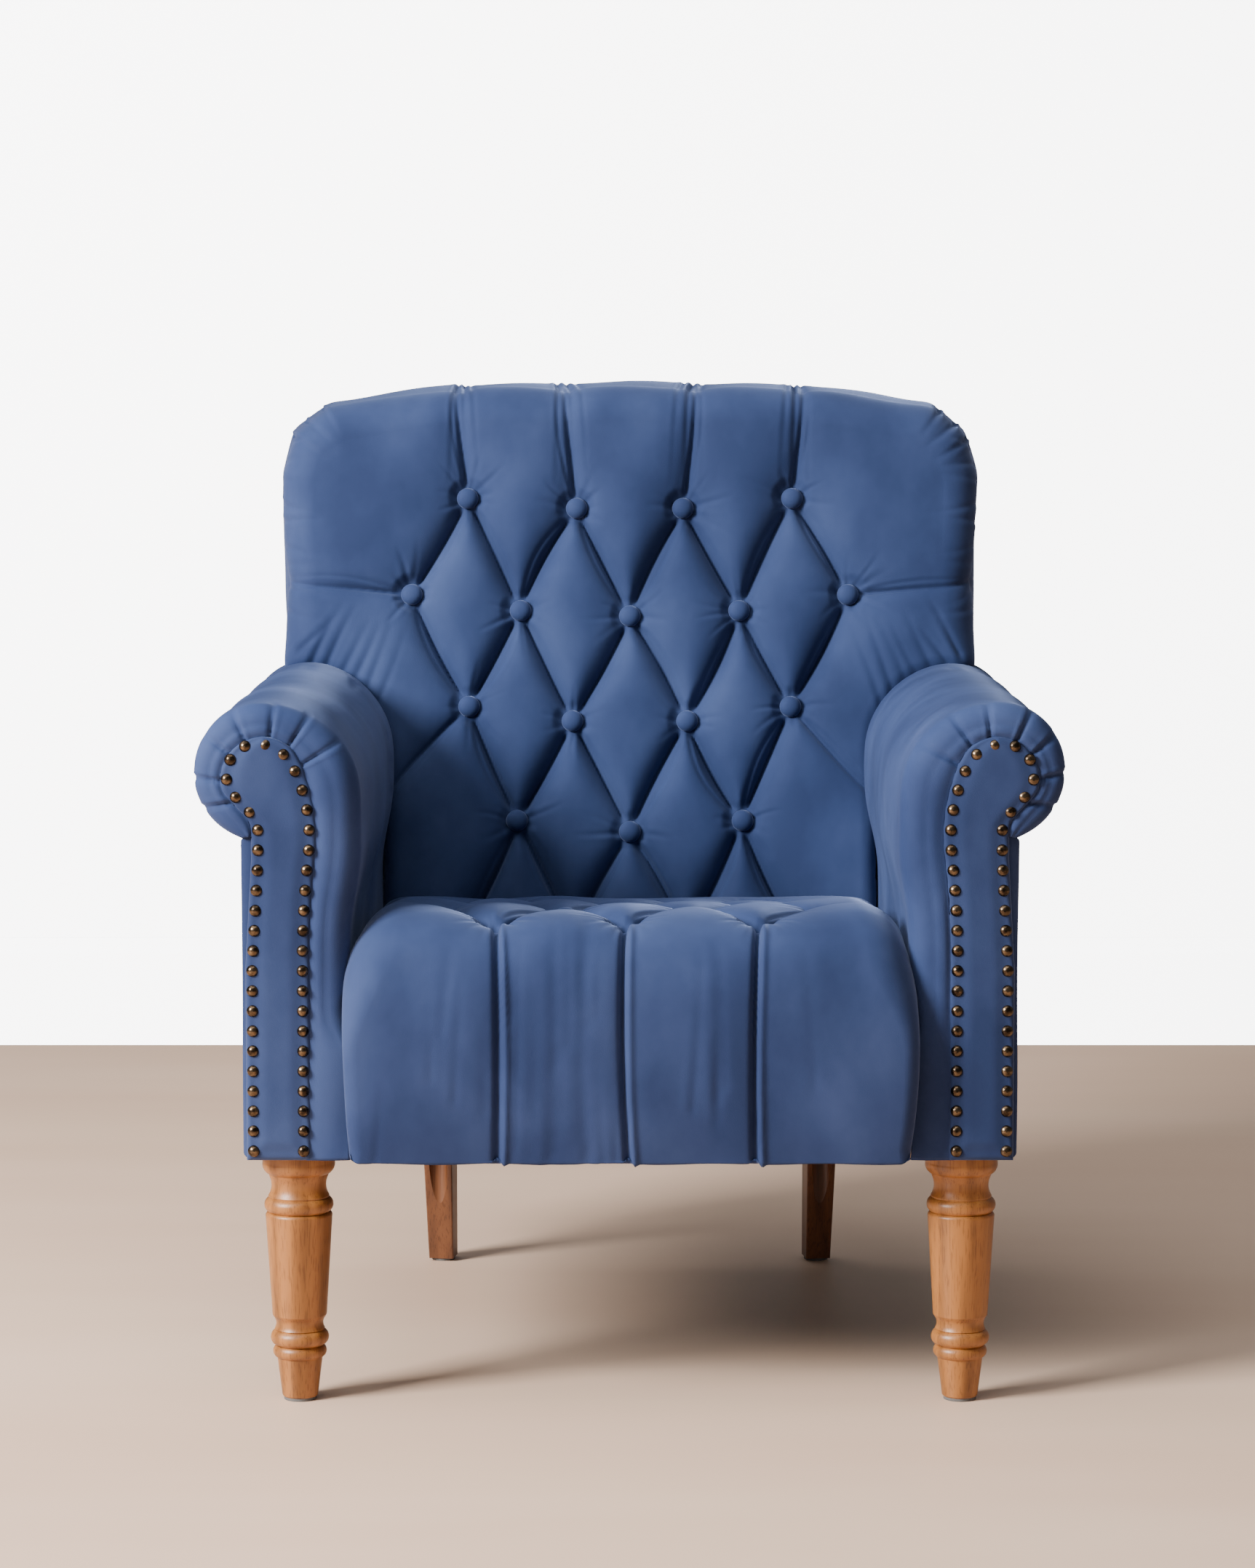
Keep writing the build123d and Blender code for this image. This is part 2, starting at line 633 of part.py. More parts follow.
# Each button's place with the length of its twine: to the webbing on the back, through the deck cloth on the seat
BACK_TUFTS = [
    (back_spot(x, z), twine_run(z) - POCKET_DEPTH - TUFT_L) for row in BACK_ROWS for x, z in row
]
SEAT_TUFTS = [
    (Location((x, y, seat_top_z(y) - POCKET_DEPTH)), seat_top_z(y) - POCKET_DEPTH - TUFT_L - DECK_Z + DECK_T)
    for i, y in enumerate(SEAT_ROW_Y)
    for x in seat_row(i)
]
for region, tufts in (("back", BACK_TUFTS), ("seat", SEAT_TUFTS)):
    with BuildPart() as buttons:
        with Locations(*[spot for spot, _ in tufts]):
            add(button.part)
    save(buttons.part, f"{region}_buttons")


def twines(tufts, extra=0):
    """The twines of some buttons, each longer than it is by extra."""
    with BuildPart() as made:
        for spot, length in tufts:
            with Locations(spot * Location((0, 0, -TUFT_L))):
                Cylinder(TWINE_R, length + extra, align=(Align.CENTER, Align.CENTER, Align.MAX))
    return made.part


save(twines(BACK_TUFTS + SEAT_TUFTS), "button_twines")


def button_pockets(tufts):
    """The room that buttons and their twines take in the foam, the cover and the cloth under them."""
    with BuildPart() as pockets:
        with Locations(*[spot for spot, _ in tufts]):
            Cylinder(POCKET_R, 2 * POCKET_DEPTH, align=(Align.CENTER, Align.CENTER, Align.MIN))
            Cylinder(TUFT_R, TUFT_L, align=(Align.CENTER, Align.CENTER, Align.MAX))
        add(twines(tufts, extra=COVER_T))
    return pockets.part


# ---------------------------------------------------------------- seat

# Seat springs: flat sinuous wires, held in clips on the front and rear rails
SPRING_HALF = 24
SPRING_START = FRONT_RAIL_Y + RAIL_T / 2
SPRING_END = REAR_RAIL_Y + RAIL_T / 2
SPRING_TURNS = 17
SPRING_STEP = (SPRING_END - SPRING_START) / SPRING_TURNS
SPRING_BEND_R = SPRING_STEP / 2 - 1
SPRING_XS = [(i - (SPRING_COUNT - 1) / 2) * 98 for i in range(SPRING_COUNT)]
with BuildPart() as spring:
    with BuildLine() as spring_path:
        corners = []
        for turn in range(SPRING_TURNS + 1):
            side = SPRING_HALF if turn % 2 else -SPRING_HALF
            depth = SPRING_START + turn * SPRING_STEP
            corners += [(side, depth, SPRING_Z), (-side, depth, SPRING_Z)]
        FilletPolyline(*corners, radius=SPRING_BEND_R)
    with BuildSketch(Plane(spring_path.line @ 0, z_dir=spring_path.line % 0)):
        Circle(WIRE_R)
    sweep()
with BuildPart() as springs:
    with Locations(*[(x, 0, 0) for x in SPRING_XS]):
        add(spring.part)
save(springs.part, "seat_springs")

# Spring clips: folded strips nailed to the rails, closed over each wire's end bar
CLIP_W = 22
CLIP_T = 1.2
CLIP_X = -SPRING_BEND_R / 2
with BuildPart() as clips:
    for clip_y, inward in ((SPRING_START, 1), (SPRING_END, -1)):
        with BuildSketch(side_wall(CLIP_X - CLIP_W / 2)):
            with Locations((clip_y, SPRING_Z)):
                Circle(WIRE_R + CLIP_T)
            with Locations((clip_y + inward * 5, RAIL_TOP + CLIP_T / 2)):
                Rectangle(10, CLIP_T)
            with Locations((clip_y, SPRING_Z)):
                Circle(WIRE_R, mode=Mode.SUBTRACT)
        extrude(amount=CLIP_W)
with BuildPart() as all_clips:
    with Locations(*[(x, 0, 0) for x in SPRING_XS]):
        add(clips.part)
save(all_clips.part, "spring_clips")

# Deck cloth: burlap over the springs, pierced by the seat's twines
SEAT_POCKETS = button_pockets(SEAT_TUFTS)
DECK_BACK_Y = SPRING_END + 8
with BuildPart() as deck:
    with BuildSketch(Plane.XY.offset(DECK_Z - DECK_T)):
        with Locations((0, (FRONT_RAIL_Y + DECK_BACK_Y) / 2)):
            Rectangle(2 * SEAT_HALF, DECK_BACK_Y - FRONT_RAIL_Y)
    extrude(amount=DECK_T)
    add(SEAT_POCKETS, mode=Mode.SUBTRACT)
save(deck.part, "seat_deck_cloth")


def seat_section(skin):
    """The seat's side section, drawn into the open BuildLine: its padded outline, moved in by skin."""
    front = SEAT_FRONT_Y + skin
    rear_z = seat_top_z(BACK_FRONT_LOW[0]) - skin
    face = Line((front + 5, BASE_Z), (front, 340))
    rise = Line(face @ 1, (front, 404))
    over = TangentArc(rise @ 1, (front + 50, SEAT_TOP_Z - skin), tangent=(0, 1))
    top = Line(over @ 1, (back_face_y(rear_z) - 1, rear_z))
    Line(top @ 1, (BACK_FRONT_LOW[0] - 5, DECK_Z))
    Polyline((BACK_FRONT_LOW[0] - 5, DECK_Z), (FRONT_RAIL_Y, DECK_Z), (FRONT_RAIL_Y, BASE_Z), face @ 0)


with BuildPart() as seat_foam:
    with BuildSketch(side_wall(-SEAT_HALF + COVER_T)):
        with BuildLine():
            seat_section(COVER_T)
        make_face()
    extrude(amount=2 * (SEAT_HALF - COVER_T))
    add(SEAT_POCKETS, mode=Mode.SUBTRACT)
save(seat_foam.part, "seat_foam")

with BuildPart() as seat_cover:
    with BuildSketch(side_wall(-SEAT_HALF)):
        with BuildLine():
            seat_section(0)
        make_face()
    extrude(amount=2 * SEAT_HALF)
    with BuildSketch(side_wall(-SEAT_HALF + COVER_T)):
        with BuildLine():
            seat_section(COVER_T)
        make_face()
    extrude(amount=2 * (SEAT_HALF - COVER_T), mode=Mode.SUBTRACT)
    add(SEAT_POCKETS, mode=Mode.SUBTRACT)
save(seat_cover.part, "seat_cover")

# Dust cover: black cloth stapled under the rails, pierced for the leg bolts
DUST_INSET = 8

with BuildPart() as dust_cover:
    with BuildSketch(Plane.XY.offset(BASE_Z)):
        with Locations((0, (FRONT_RAIL_Y + REAR_RAIL_BACK) / 2)):
            Rectangle(2 * (FRAME_HALF - DUST_INSET), REAR_RAIL_BACK - FRONT_RAIL_Y)
        for side in (-1, 1):
            with Locations((side * FRONT_LEG_X, FRONT_LEG_Y), (side * REAR_LEG_X, REAR_BOLT_Y)):
                Circle(BOLT_R, mode=Mode.SUBTRACT)
    extrude(amount=DUST_T)
save(dust_cover.part, "dust_cover")


# ---------------------------------------------------------------- back padding and covers

ARM_GAP = 1
ABOVE_ARM_Z = ARM_TOP_Z + ARM_GAP
BETWEEN_ARMS = ARM_WAIST - ARM_GAP
BEHIND_ARM_Y = ARM_BACK_Y + 4
ROOM_TOP_Z = 907


def back_front_view(skin):
    """The back's outline from the front, moved in by skin, as a sketch."""
    with BuildSketch() as shape:
        with BuildLine():
            side = Polyline((BASE_HALF - skin, BASE_Z), (356 - skin, 604), (362 - skin, 840 - skin))
            corner = ThreePointArc(side @ 1, (350 - skin, 881 - skin), (315.5 - skin, 908.5 - skin))
            Polyline(corner @ 1, (187, 929 - skin), (0, TOTAL_HEIGHT - skin), (0, BASE_Z), side @ 0)
        make_face()
        mirror(about=Plane.YZ)
    return shape.sketch


def back_section(skin):
    """The back's side section, drawn into the open BuildLine: its leaning padded outline, moved in by skin."""
    top_z = TOTAL_HEIGHT - skin
    rear = (BACK_REAR_TOP[0] - skin, BACK_REAR_TOP[1])
    low_front = (BACK_FRONT_LOW[0] + skin, DECK_Z)
    front = Line(low_front, (BACK_FRONT_TOP[0] + skin, BACK_FRONT_TOP[1]))
    over = TangentArc(front @ 1, (302, top_z), tangent=front % 1)
    face = Line((BACK_REAR_LOW_Y - skin, BASE_Z), rear)
    shoulder = TangentArc(face @ 1, (rear[0] - 18, top_z), tangent=face % 1)
    Line(over @ 1, shoulder @ 1)
    Polyline(face @ 0, (BEHIND_ARM_Y, BASE_Z), (BEHIND_ARM_Y, DECK_Z), low_front)


def back_body(skin):
    """The whole padded back, moved in by skin, cut clear of the arms."""
    with BuildPart() as body:
        with BuildSketch(side_wall(-TOTAL_WIDTH / 2)):
            with BuildLine():
                back_section(skin)
            make_face()
        extrude(amount=TOTAL_WIDTH)
        with BuildSketch(wall(TOTAL_DEPTH)):
            add(back_front_view(skin))
        extrude(amount=2 * TOTAL_DEPTH, mode=Mode.INTERSECT)
        for side in (-1, 1):
            with Locations((side * (BETWEEN_ARMS + 100 - skin), BEHIND_ARM_Y, ABOVE_ARM_Z + skin)):
                Box(200, 600, 700, align=(Align.CENTER, Align.MAX, Align.MAX), mode=Mode.SUBTRACT)
    return body.part


def behind_webbing(half_width, top_z, skin):
    """The space behind the webbing, up to a width and a height, and inside the back's outline moved in by skin."""
    with BuildPart() as region:
        with BuildSketch(side_wall(-half_width)):
            with BuildLine():
                Polyline(
                    (frame_front_y(0) - WEB_ROOM, 0),
                    (frame_front_y(0) + TOTAL_DEPTH, 0),
                    (frame_front_y(top_z) + TOTAL_DEPTH, top_z),
                    (frame_front_y(top_z) - WEB_ROOM, top_z),
                    close=True,
                )
            make_face()
        extrude(amount=2 * half_width)
        with BuildSketch(wall(2 * TOTAL_DEPTH)):
            add(back_front_view(skin))
        extrude(amount=4 * TOTAL_DEPTH, mode=Mode.INTERSECT)
    return region.part


FRAME_OUT = UPRIGHT_IN + UPRIGHT_T
BACK_INNER = back_body(COVER_T)
BACK_POCKETS = button_pockets(BACK_TUFTS)
REAR_SLAB = behind_webbing(TOTAL_WIDTH, 2 * TOTAL_HEIGHT, 0)
FRAME_ROOM = behind_webbing(FRAME_OUT, ROOM_TOP_Z, 2 * PANEL_T)

# Back foam, with the sculpted outline of the back: wide over the arms and narrow between them
with BuildPart() as back_foam:
    add(BACK_INNER)
    add(REAR_SLAB, mode=Mode.SUBTRACT)
    add(BACK_POCKETS, mode=Mode.SUBTRACT)
    split(bisect_by=Plane.XY.offset(DECK_Z), keep=Keep.TOP)
save(back_foam.part, "back_foam")

# Outside back panel: card and cloth over the rear of the frame
with BuildPart() as outside_back:
    with BuildSketch(side_wall(-FRAME_OUT)):
        with BuildLine():
            Polyline(
                (frame_rear_y(BASE_Z), BASE_Z),
                (frame_rear_y(BASE_Z) + PANEL_T, BASE_Z),
                (frame_rear_y(ROOM_TOP_Z) + PANEL_T, ROOM_TOP_Z),
                (frame_rear_y(ROOM_TOP_Z), ROOM_TOP_Z),
                close=True,
            )
        make_face()
    extrude(amount=2 * FRAME_OUT)
    with BuildSketch(wall(TOTAL_DEPTH)):
        add(back_front_view(2 * PANEL_T))
    extrude(amount=2 * TOTAL_DEPTH, mode=Mode.INTERSECT)
save(outside_back.part, "outside_back_panel")

# Edge padding: batting round the uprights and over the crest rail
with BuildPart() as edge_padding:
    add(BACK_INNER)
    add(REAR_SLAB, mode=Mode.INTERSECT)
    add(FRAME_ROOM, mode=Mode.SUBTRACT)
save(edge_padding.part, "back_edge_padding")

# Inside back cover: tufted velvet over the front, sides and crest, turned in at the rear
with BuildPart() as back_cover:
    add(back_body(0))
    add(BACK_INNER, mode=Mode.SUBTRACT)
    add(BACK_POCKETS, mode=Mode.SUBTRACT)
    add(FRAME_ROOM, mode=Mode.SUBTRACT)
save(back_cover.part, "back_cover")
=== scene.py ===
"""Button-tufted velvet armchair with rolled, nail-trimmed arms on turned oak front legs.

Metres. The front faces -Y and +Z is up. Left is the -X side. The sections follow the chair as it is put together.
"""

import json
import math

import bpy
import numpy as np
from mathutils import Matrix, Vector


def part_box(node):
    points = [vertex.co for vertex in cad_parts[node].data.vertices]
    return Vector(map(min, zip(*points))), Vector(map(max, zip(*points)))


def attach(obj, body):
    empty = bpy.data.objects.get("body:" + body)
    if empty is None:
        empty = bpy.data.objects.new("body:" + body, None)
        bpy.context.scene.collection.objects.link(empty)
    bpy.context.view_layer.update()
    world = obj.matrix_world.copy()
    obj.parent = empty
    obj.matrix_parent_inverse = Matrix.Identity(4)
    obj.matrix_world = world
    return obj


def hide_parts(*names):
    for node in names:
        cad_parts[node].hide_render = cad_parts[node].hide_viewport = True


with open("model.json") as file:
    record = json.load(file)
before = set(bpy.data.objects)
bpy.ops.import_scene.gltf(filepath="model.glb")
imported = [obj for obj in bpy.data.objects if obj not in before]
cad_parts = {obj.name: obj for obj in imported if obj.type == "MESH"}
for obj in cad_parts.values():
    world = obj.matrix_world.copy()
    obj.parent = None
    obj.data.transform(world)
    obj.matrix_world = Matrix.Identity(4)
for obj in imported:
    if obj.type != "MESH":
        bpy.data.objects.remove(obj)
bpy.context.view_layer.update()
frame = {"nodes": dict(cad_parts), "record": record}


# ---------------------------------------------------------------- room, light and camera
# A plain pale floor and a plain wall with a low skirting board. A soft lamp stands at the front left and a wider,
# weaker one hangs overhead. The camera is level with the crest, far enough back to flatten the chair.

FLOOR_HALF = 14
WALL_Y = 1.776
WALL_HALF = 9
WALL_TOP = 6.5
SKIRTING_H = 0.151


def quads(rows, cols, wrap=False):
    """Faces of a grid of rows by cols points: each takes a point, its right neighbour and the two above."""
    r = np.arange(rows - 1)[:, None]
    c = np.arange(cols if wrap else cols - 1)[None, :]
    d = (c + 1) % cols
    return np.stack([r * cols + c, r * cols + d, (r + 1) * cols + d, (r + 1) * cols + c], -1).reshape(-1, 4)


def mesh_piece(name, points, faces, material, smooth=True):
    """A mesh object from an array of points and a list of face arrays, one material, all faces shaded alike."""
    mesh = bpy.data.meshes.new(name)
    faces = [f for group in faces for f in group.tolist()] if isinstance(faces, list) else faces.tolist()
    mesh.from_pydata(points.reshape(-1, 3).tolist(), [], faces)
    mesh.polygons.foreach_set("use_smooth", np.full(len(mesh.polygons), smooth))
    mesh.materials.append(material)
    mesh.update()
    piece = bpy.data.objects.new(name, mesh)
    bpy.context.scene.collection.objects.link(piece)
    return piece


class Recipe:
    """A node material: add() makes a node with its settings, link() joins sockets, and shader is the Principled."""

    def __init__(self, name, color, roughness):
        self.material = bpy.data.materials.new(name)
        self.material.use_nodes = True
        self.tree = self.material.node_tree
        self.shader = self.tree.nodes["Principled BSDF"]
        self.shader.inputs["Base Color"].default_value = (*color, 1)
        self.shader.inputs["Roughness"].default_value = roughness
        self.place = self.add("ShaderNodeTexCoord").outputs["Object"]

    def add(self, kind, **values):
        node = self.tree.nodes.new(kind)
        for key, value in values.items():
            if key in node.inputs.keys():
                node.inputs[key].default_value = value
            else:
                setattr(node, key, value)
        return node

    def link(self, a, b):
        self.tree.links.new(a, b)

    def noise(self, scale, detail=3.0, stretch=(1, 1, 1)):
        """Noise over the piece's own place, squeezed by stretch along each axis."""
        mapping = self.add("ShaderNodeMapping", Scale=stretch)
        self.link(self.place, mapping.inputs["Vector"])
        node = self.add("ShaderNodeTexNoise", Scale=scale, Detail=detail)
        self.link(mapping.outputs["Vector"], node.inputs["Vector"])
        return node.outputs["Fac"]

    def ramp(self, source, *stops):
        """A colour ramp: each stop is a place from 0 to 1 and a colour."""
        node = self.add("ShaderNodeValToRGB")
        elements = node.color_ramp.elements
        while len(elements) < len(stops):
            elements.new(0.5)
        for element, (place, color) in zip(elements, stops):
            element.position = place
            element.color = (*color, 1)
        self.link(source, node.inputs["Fac"])
        return node.outputs["Color"]

    def bump(self, source, strength, distance):
        """Height from source as bump, on top of what is already there."""
        node = self.add("ShaderNodeBump", Strength=strength, Distance=distance)
        self.link(source, node.inputs["Height"])
        normal = self.shader.inputs["Normal"]
        if normal.is_linked:
            self.link(normal.links[0].from_socket, node.inputs["Normal"])
        self.link(node.outputs["Normal"], normal)


floor_finish = Recipe("pale_floor", (0.62, 0.52, 0.45), 0.5)
floor_shades = floor_finish.ramp(
    floor_finish.noise(1.2, 4, (0.4, 2, 1)), (0.3, (0.71, 0.475, 0.335)), (0.75, (0.82, 0.585, 0.430)))
floor_finish.link(floor_shades, floor_finish.shader.inputs["Base Color"])
wall_finish = Recipe("white_wall", (0.88, 0.88, 0.885), 0.9)
# The wall shows only from the front, so that the chair can be seen from behind too
see_through = wall_finish.add("ShaderNodeBsdfTransparent")
one_way = wall_finish.add("ShaderNodeMixShader")
wall_finish.link(wall_finish.add("ShaderNodeNewGeometry").outputs["Backfacing"], one_way.inputs["Fac"])
wall_finish.link(wall_finish.shader.outputs["BSDF"], one_way.inputs[1])
wall_finish.link(see_through.outputs["BSDF"], one_way.inputs[2])
wall_finish.link(one_way.outputs["Shader"], wall_finish.tree.nodes["Material Output"].inputs["Surface"])
wall_finish.shader.inputs["Emission Color"].default_value = (1, 1, 1, 1)
wall_finish.shader.inputs["Emission Strength"].default_value = 6.0

floor_corners = FLOOR_HALF * np.array([[-1, -1, 0], [1, -1, 0], [1, 1, 0], [-1, 1, 0]], float)
floor = mesh_piece("floor", floor_corners, np.array([[0, 1, 2, 3]]), floor_finish.material)
skirting_edge = np.array([
    [0, 0], [0, SKIRTING_H - 0.02], [0.006, SKIRTING_H - 0.012], [0.008, SKIRTING_H], [0.018, SKIRTING_H],
    [0.018, WALL_TOP],
])
wall_points = np.array([[x, WALL_Y + y, z] for y, z in skirting_edge for x in (-WALL_HALF, WALL_HALF)], float)
wall = mesh_piece("wall", wall_points, quads(len(skirting_edge), 2), wall_finish.material, smooth=False)
wall.visible_diffuse = False
wall.visible_glossy = False
wall.visible_shadow = False

KEY_PLACE = Vector((-2.9, -2.1, 2.2))
TOP_PLACE = Vector((-0.9, -0.6, 3.4))
for lamp_name, place, size, power, target_z in (
    ("key_lamp", KEY_PLACE, 1.3, 400, 0.5),
    ("top_lamp", TOP_PLACE, 3.6, 105, 0.0),
):
    lamp = bpy.data.lights.new(lamp_name, "AREA")
    lamp.size = size
    lamp.energy = power
    lamp_object = bpy.data.objects.new(lamp_name, lamp)
    lamp_object.location = place
    lamp_object.rotation_euler = (Vector((0, 0, target_z)) - place).to_track_quat("-Z", "Y").to_euler()
    bpy.context.scene.collection.objects.link(lamp_object)

world = bpy.data.worlds.new("studio")
world.use_nodes = True
world.node_tree.nodes["Background"].inputs["Color"].default_value = (0.95, 0.97, 1.0, 1)
world.node_tree.nodes["Background"].inputs["Strength"].default_value = 0.20
bpy.context.scene.world = world

lens = bpy.data.cameras.new("camera")
lens.lens = 98.3
lens.sensor_width = 36
camera = bpy.data.objects.new("camera", lens)
CAMERA_DOWN = 5.4  # degrees below level
camera.location = (-0.0023, -4.21, 0.936)
camera.rotation_euler = (math.radians(90 - CAMERA_DOWN), 0, 0)
bpy.context.scene.collection.objects.link(camera)
bpy.context.scene.camera = camera


# ---------------------------------------------------------------- back cushion
# Foam on webbing under velvet, pulled in by sixteen covered buttons. The folds between them are tucked by hand,
# and the cloth is drawn over the crest and round the sides to the rear frame.

VELVET = (0.024, 0.040, 0.108)
PILE_SHADES = ((0.38, (0.0165, 0.0290, 0.084)), (0.52, VELVET), (0.68, (0.0350, 0.0550, 0.136)))


def velvet_cloth(name, brightness, sheen):
    """Cotton velvet: its pile lies this way and that in soft patches, and its edges catch the light as a sheen."""
    recipe = Recipe(name, tuple(brightness * c for c in VELVET), 0.78)
    nap = recipe.noise(9, 4, (1, 1, 0.7))
    shades = [(place, tuple(brightness * c for c in shade)) for place, shade in PILE_SHADES]
    recipe.link(recipe.ramp(nap, *shades), recipe.shader.inputs["Base Color"])
    for key, value in (("Sheen Weight", sheen), ("Sheen Roughness", 0.38), ("Sheen Tint", (0.50, 0.62, 1.0, 1)),
                       ("Specular IOR Level", 0.15)):
        recipe.shader.inputs[key].default_value = value
    recipe.bump(recipe.noise(1400, 2), 0.25, 0.0006)
    recipe.bump(recipe.noise(60, 3), 0.12, 0.0015)
    return recipe


velvet = velvet_cloth("blue_velvet", 1.0, 0.38)


def run_along(points):
    """Distance along a polyline from its start to each of its points."""
    return np.r_[0, np.cumsum(np.hypot(*np.diff(points, axis=0).T))]


def spaced(points, count):
    """The same polyline with count points at equal distances along it."""
    leg = run_along(points)
    walk = np.linspace(0, leg[-1], count)
    return np.stack([np.interp(walk, leg, points[:, k]) for k in (0, 1)], -1)


def bell_weights(offsets):
    """Weights of a bell, exp(-x^2 / 2), that add up to one."""
    weights = np.exp(-0.5 * offsets**2)
    return weights / weights.sum()


def evened(line, reach, weights):
    """A line with each point averaged with its neighbours. It is carried on past its ends, so that they stay."""
    head = 2 * line[0] - line[reach:0:-1]
    tail = 2 * line[-1] - line[-2 : -reach - 2 : -1]
    long = np.concatenate([head, line, tail])
    return np.stack([np.convolve(long[:, k], weights, "valid") for k in range(line.shape[1])], -1)


def smoothed(points, step, spread):
    """A polyline walked in equal steps, then averaged along itself with a bell of the given spread."""
    line = spaced(points, max(8, int(run_along(points)[-1] / step)))
    reach = max(1, int(3 * spread / step))
    return evened(line, reach, bell_weights(np.arange(-reach, reach + 1) * step / spread))


def grid_rim(rows, cols):
    """The points round the edge of a grid, once: first row, last column, last row back, first column back."""
    return np.concatenate([
        np.arange(cols), np.arange(1, rows) * cols + cols - 1, (rows - 1) * cols + np.arange(cols - 2, -1, -1),
        np.arange(rows - 2, 0, -1) * cols,
    ])


def fan(ring, centre):
    """Triangles from each point of a closed ring and the next one to a centre."""
    return np.stack([ring, np.roll(ring, -1), np.full(len(ring), centre)], -1)


def across(points):
    """Unit normals of a polyline in its plane, to the right of its direction."""
    along = np.gradient(points, axis=0)
    along /= np.linalg.norm(along, axis=1)[:, None]
    return np.stack([along[:, 1], -along[:, 0]], -1)


def surface_normals(points, faces):
    """Vertex normals: the sum of the normals of the faces round each point, made unit length."""
    a, b, c, d = (points[faces[:, k]] for k in range(4))
    face = np.cross(c - a, d - b)
    total = np.stack(
        [sum(np.bincount(faces[:, k], face[:, axis], len(points)) for k in range(4)) for axis in range(3)], -1
    )
    return total / np.maximum(np.linalg.norm(total, axis=1), 1e-12)[:, None]


def quarter_round(part):
    """Rise of a rounded edge over its width: sqrt(1 - (1 - part)^2), with part kept from 0 to 1."""
    return np.sqrt(np.clip(1 - (1 - np.clip(part, 0, 1)) ** 2, 0, 1))


def blend_in(x, low, high):
    """0 below low, 1 above high, and a smooth step between."""
    t = np.clip((x - low) / (high - low), 0, 1)
    return t * t * (3 - 2 * t)


def fold_place(flat, a, b, bow):
    """Where points lie about a bowed fold from a to b: 0 to 1 along it, signed distance to its side, and the
    distance past its ends."""
    a, b = np.asarray(a), np.asarray(b)
    span = b - a
    length = np.hypot(*span)
    unit = span / length
    rel = flat - a
    along = rel @ unit
    part = np.clip(along / length, 0, 1)
    side = rel @ np.array([-unit[1], unit[0]]) - bow * np.sin(np.pi * part)
    past = np.maximum(np.maximum(-along, along - length), 0)
    return part, side, past


def tuck(flat, a, b, depth, width, bow=0.0, start=1.0, end=1.0):
    """Height of one fold line: a narrow valley with a low lip at its side, from strength start to strength end."""
    part, side, past = fold_place(flat, a, b, bow)
    strength = start + (end - start) * part
    w = side / width
    valley = -np.exp(-(w**2)) + 0.45 * np.exp(-((w - 2.1) ** 2) / 1.2)
    return depth * strength * valley * np.exp(-((past / (2 * width)) ** 2))


WELL_INNER = 0.0080
WELL_OUTER = 0.0215


def tufted(flat, buttons, folds, pull, soft, dimple, seed):
    """Height of buttoned cloth over flat cloth places.

    Every fold pulls the cloth down by pull, less with the distance as exp(-d / soft), where d is the smooth
    least distance to all folds. Each button adds a round dimple, short gathers that point at it, and each fold
    has two bowed tucks that meet at its ends. A fold is (a, b, strength at a, strength at b, bow).
    """
    rng = np.random.default_rng(seed)
    nearness = np.zeros(len(flat))
    height = np.zeros(len(flat))
    for a, b, start, end, bow in folds:
        part, side, past = fold_place(flat, a, b, bow)
        strength = start + (end - start) * part
        d = np.hypot(side, past) + (1 - strength) * 1.7 * soft + 1e-4
        nearness += d**-3.0
        wander = bow + rng.uniform(-0.0015, 0.0015)
        height += tuck(flat, a, b, 0.0030, 0.0021, wander, start, end)
        height += tuck(flat, a, b, 0.0013, 0.0016, wander + rng.choice((-1, 1)) * rng.uniform(0.006, 0.011), start, end)
    d = nearness ** (-1 / 3.0)
    height -= pull * np.exp(-d / soft)
    for x, z in buttons:
        rel = flat - (x, z)
        reach = np.hypot(rel[:, 0], rel[:, 1])
        well = 1 - blend_in(reach, WELL_INNER, WELL_OUTER)
        height = height * (1 - well) - dimple * well
        turn = rng.uniform(0, np.pi)
        for k in range(11):
            angle = turn + k * 2 * np.pi / 11 + rng.uniform(-0.2, 0.2)
            out = np.array([np.cos(angle), np.sin(angle)])
            long = rng.uniform(0.022, 0.060)
            near = reach < long + 0.02
            gather = tuck(flat[near], (x, z) + 0.010 * out, (x, z) + long * out, rng.uniform(0.0007, 0.0017),
                          rng.uniform(0.0018, 0.0030), rng.uniform(-0.002, 0.002), 1.0, 0.0)
            height[near] += gather
    return height, d


CLOTH_STRIDE = 3
CLOTH_FRAMES = 16
CLOTH_PRESSURE = 3.0


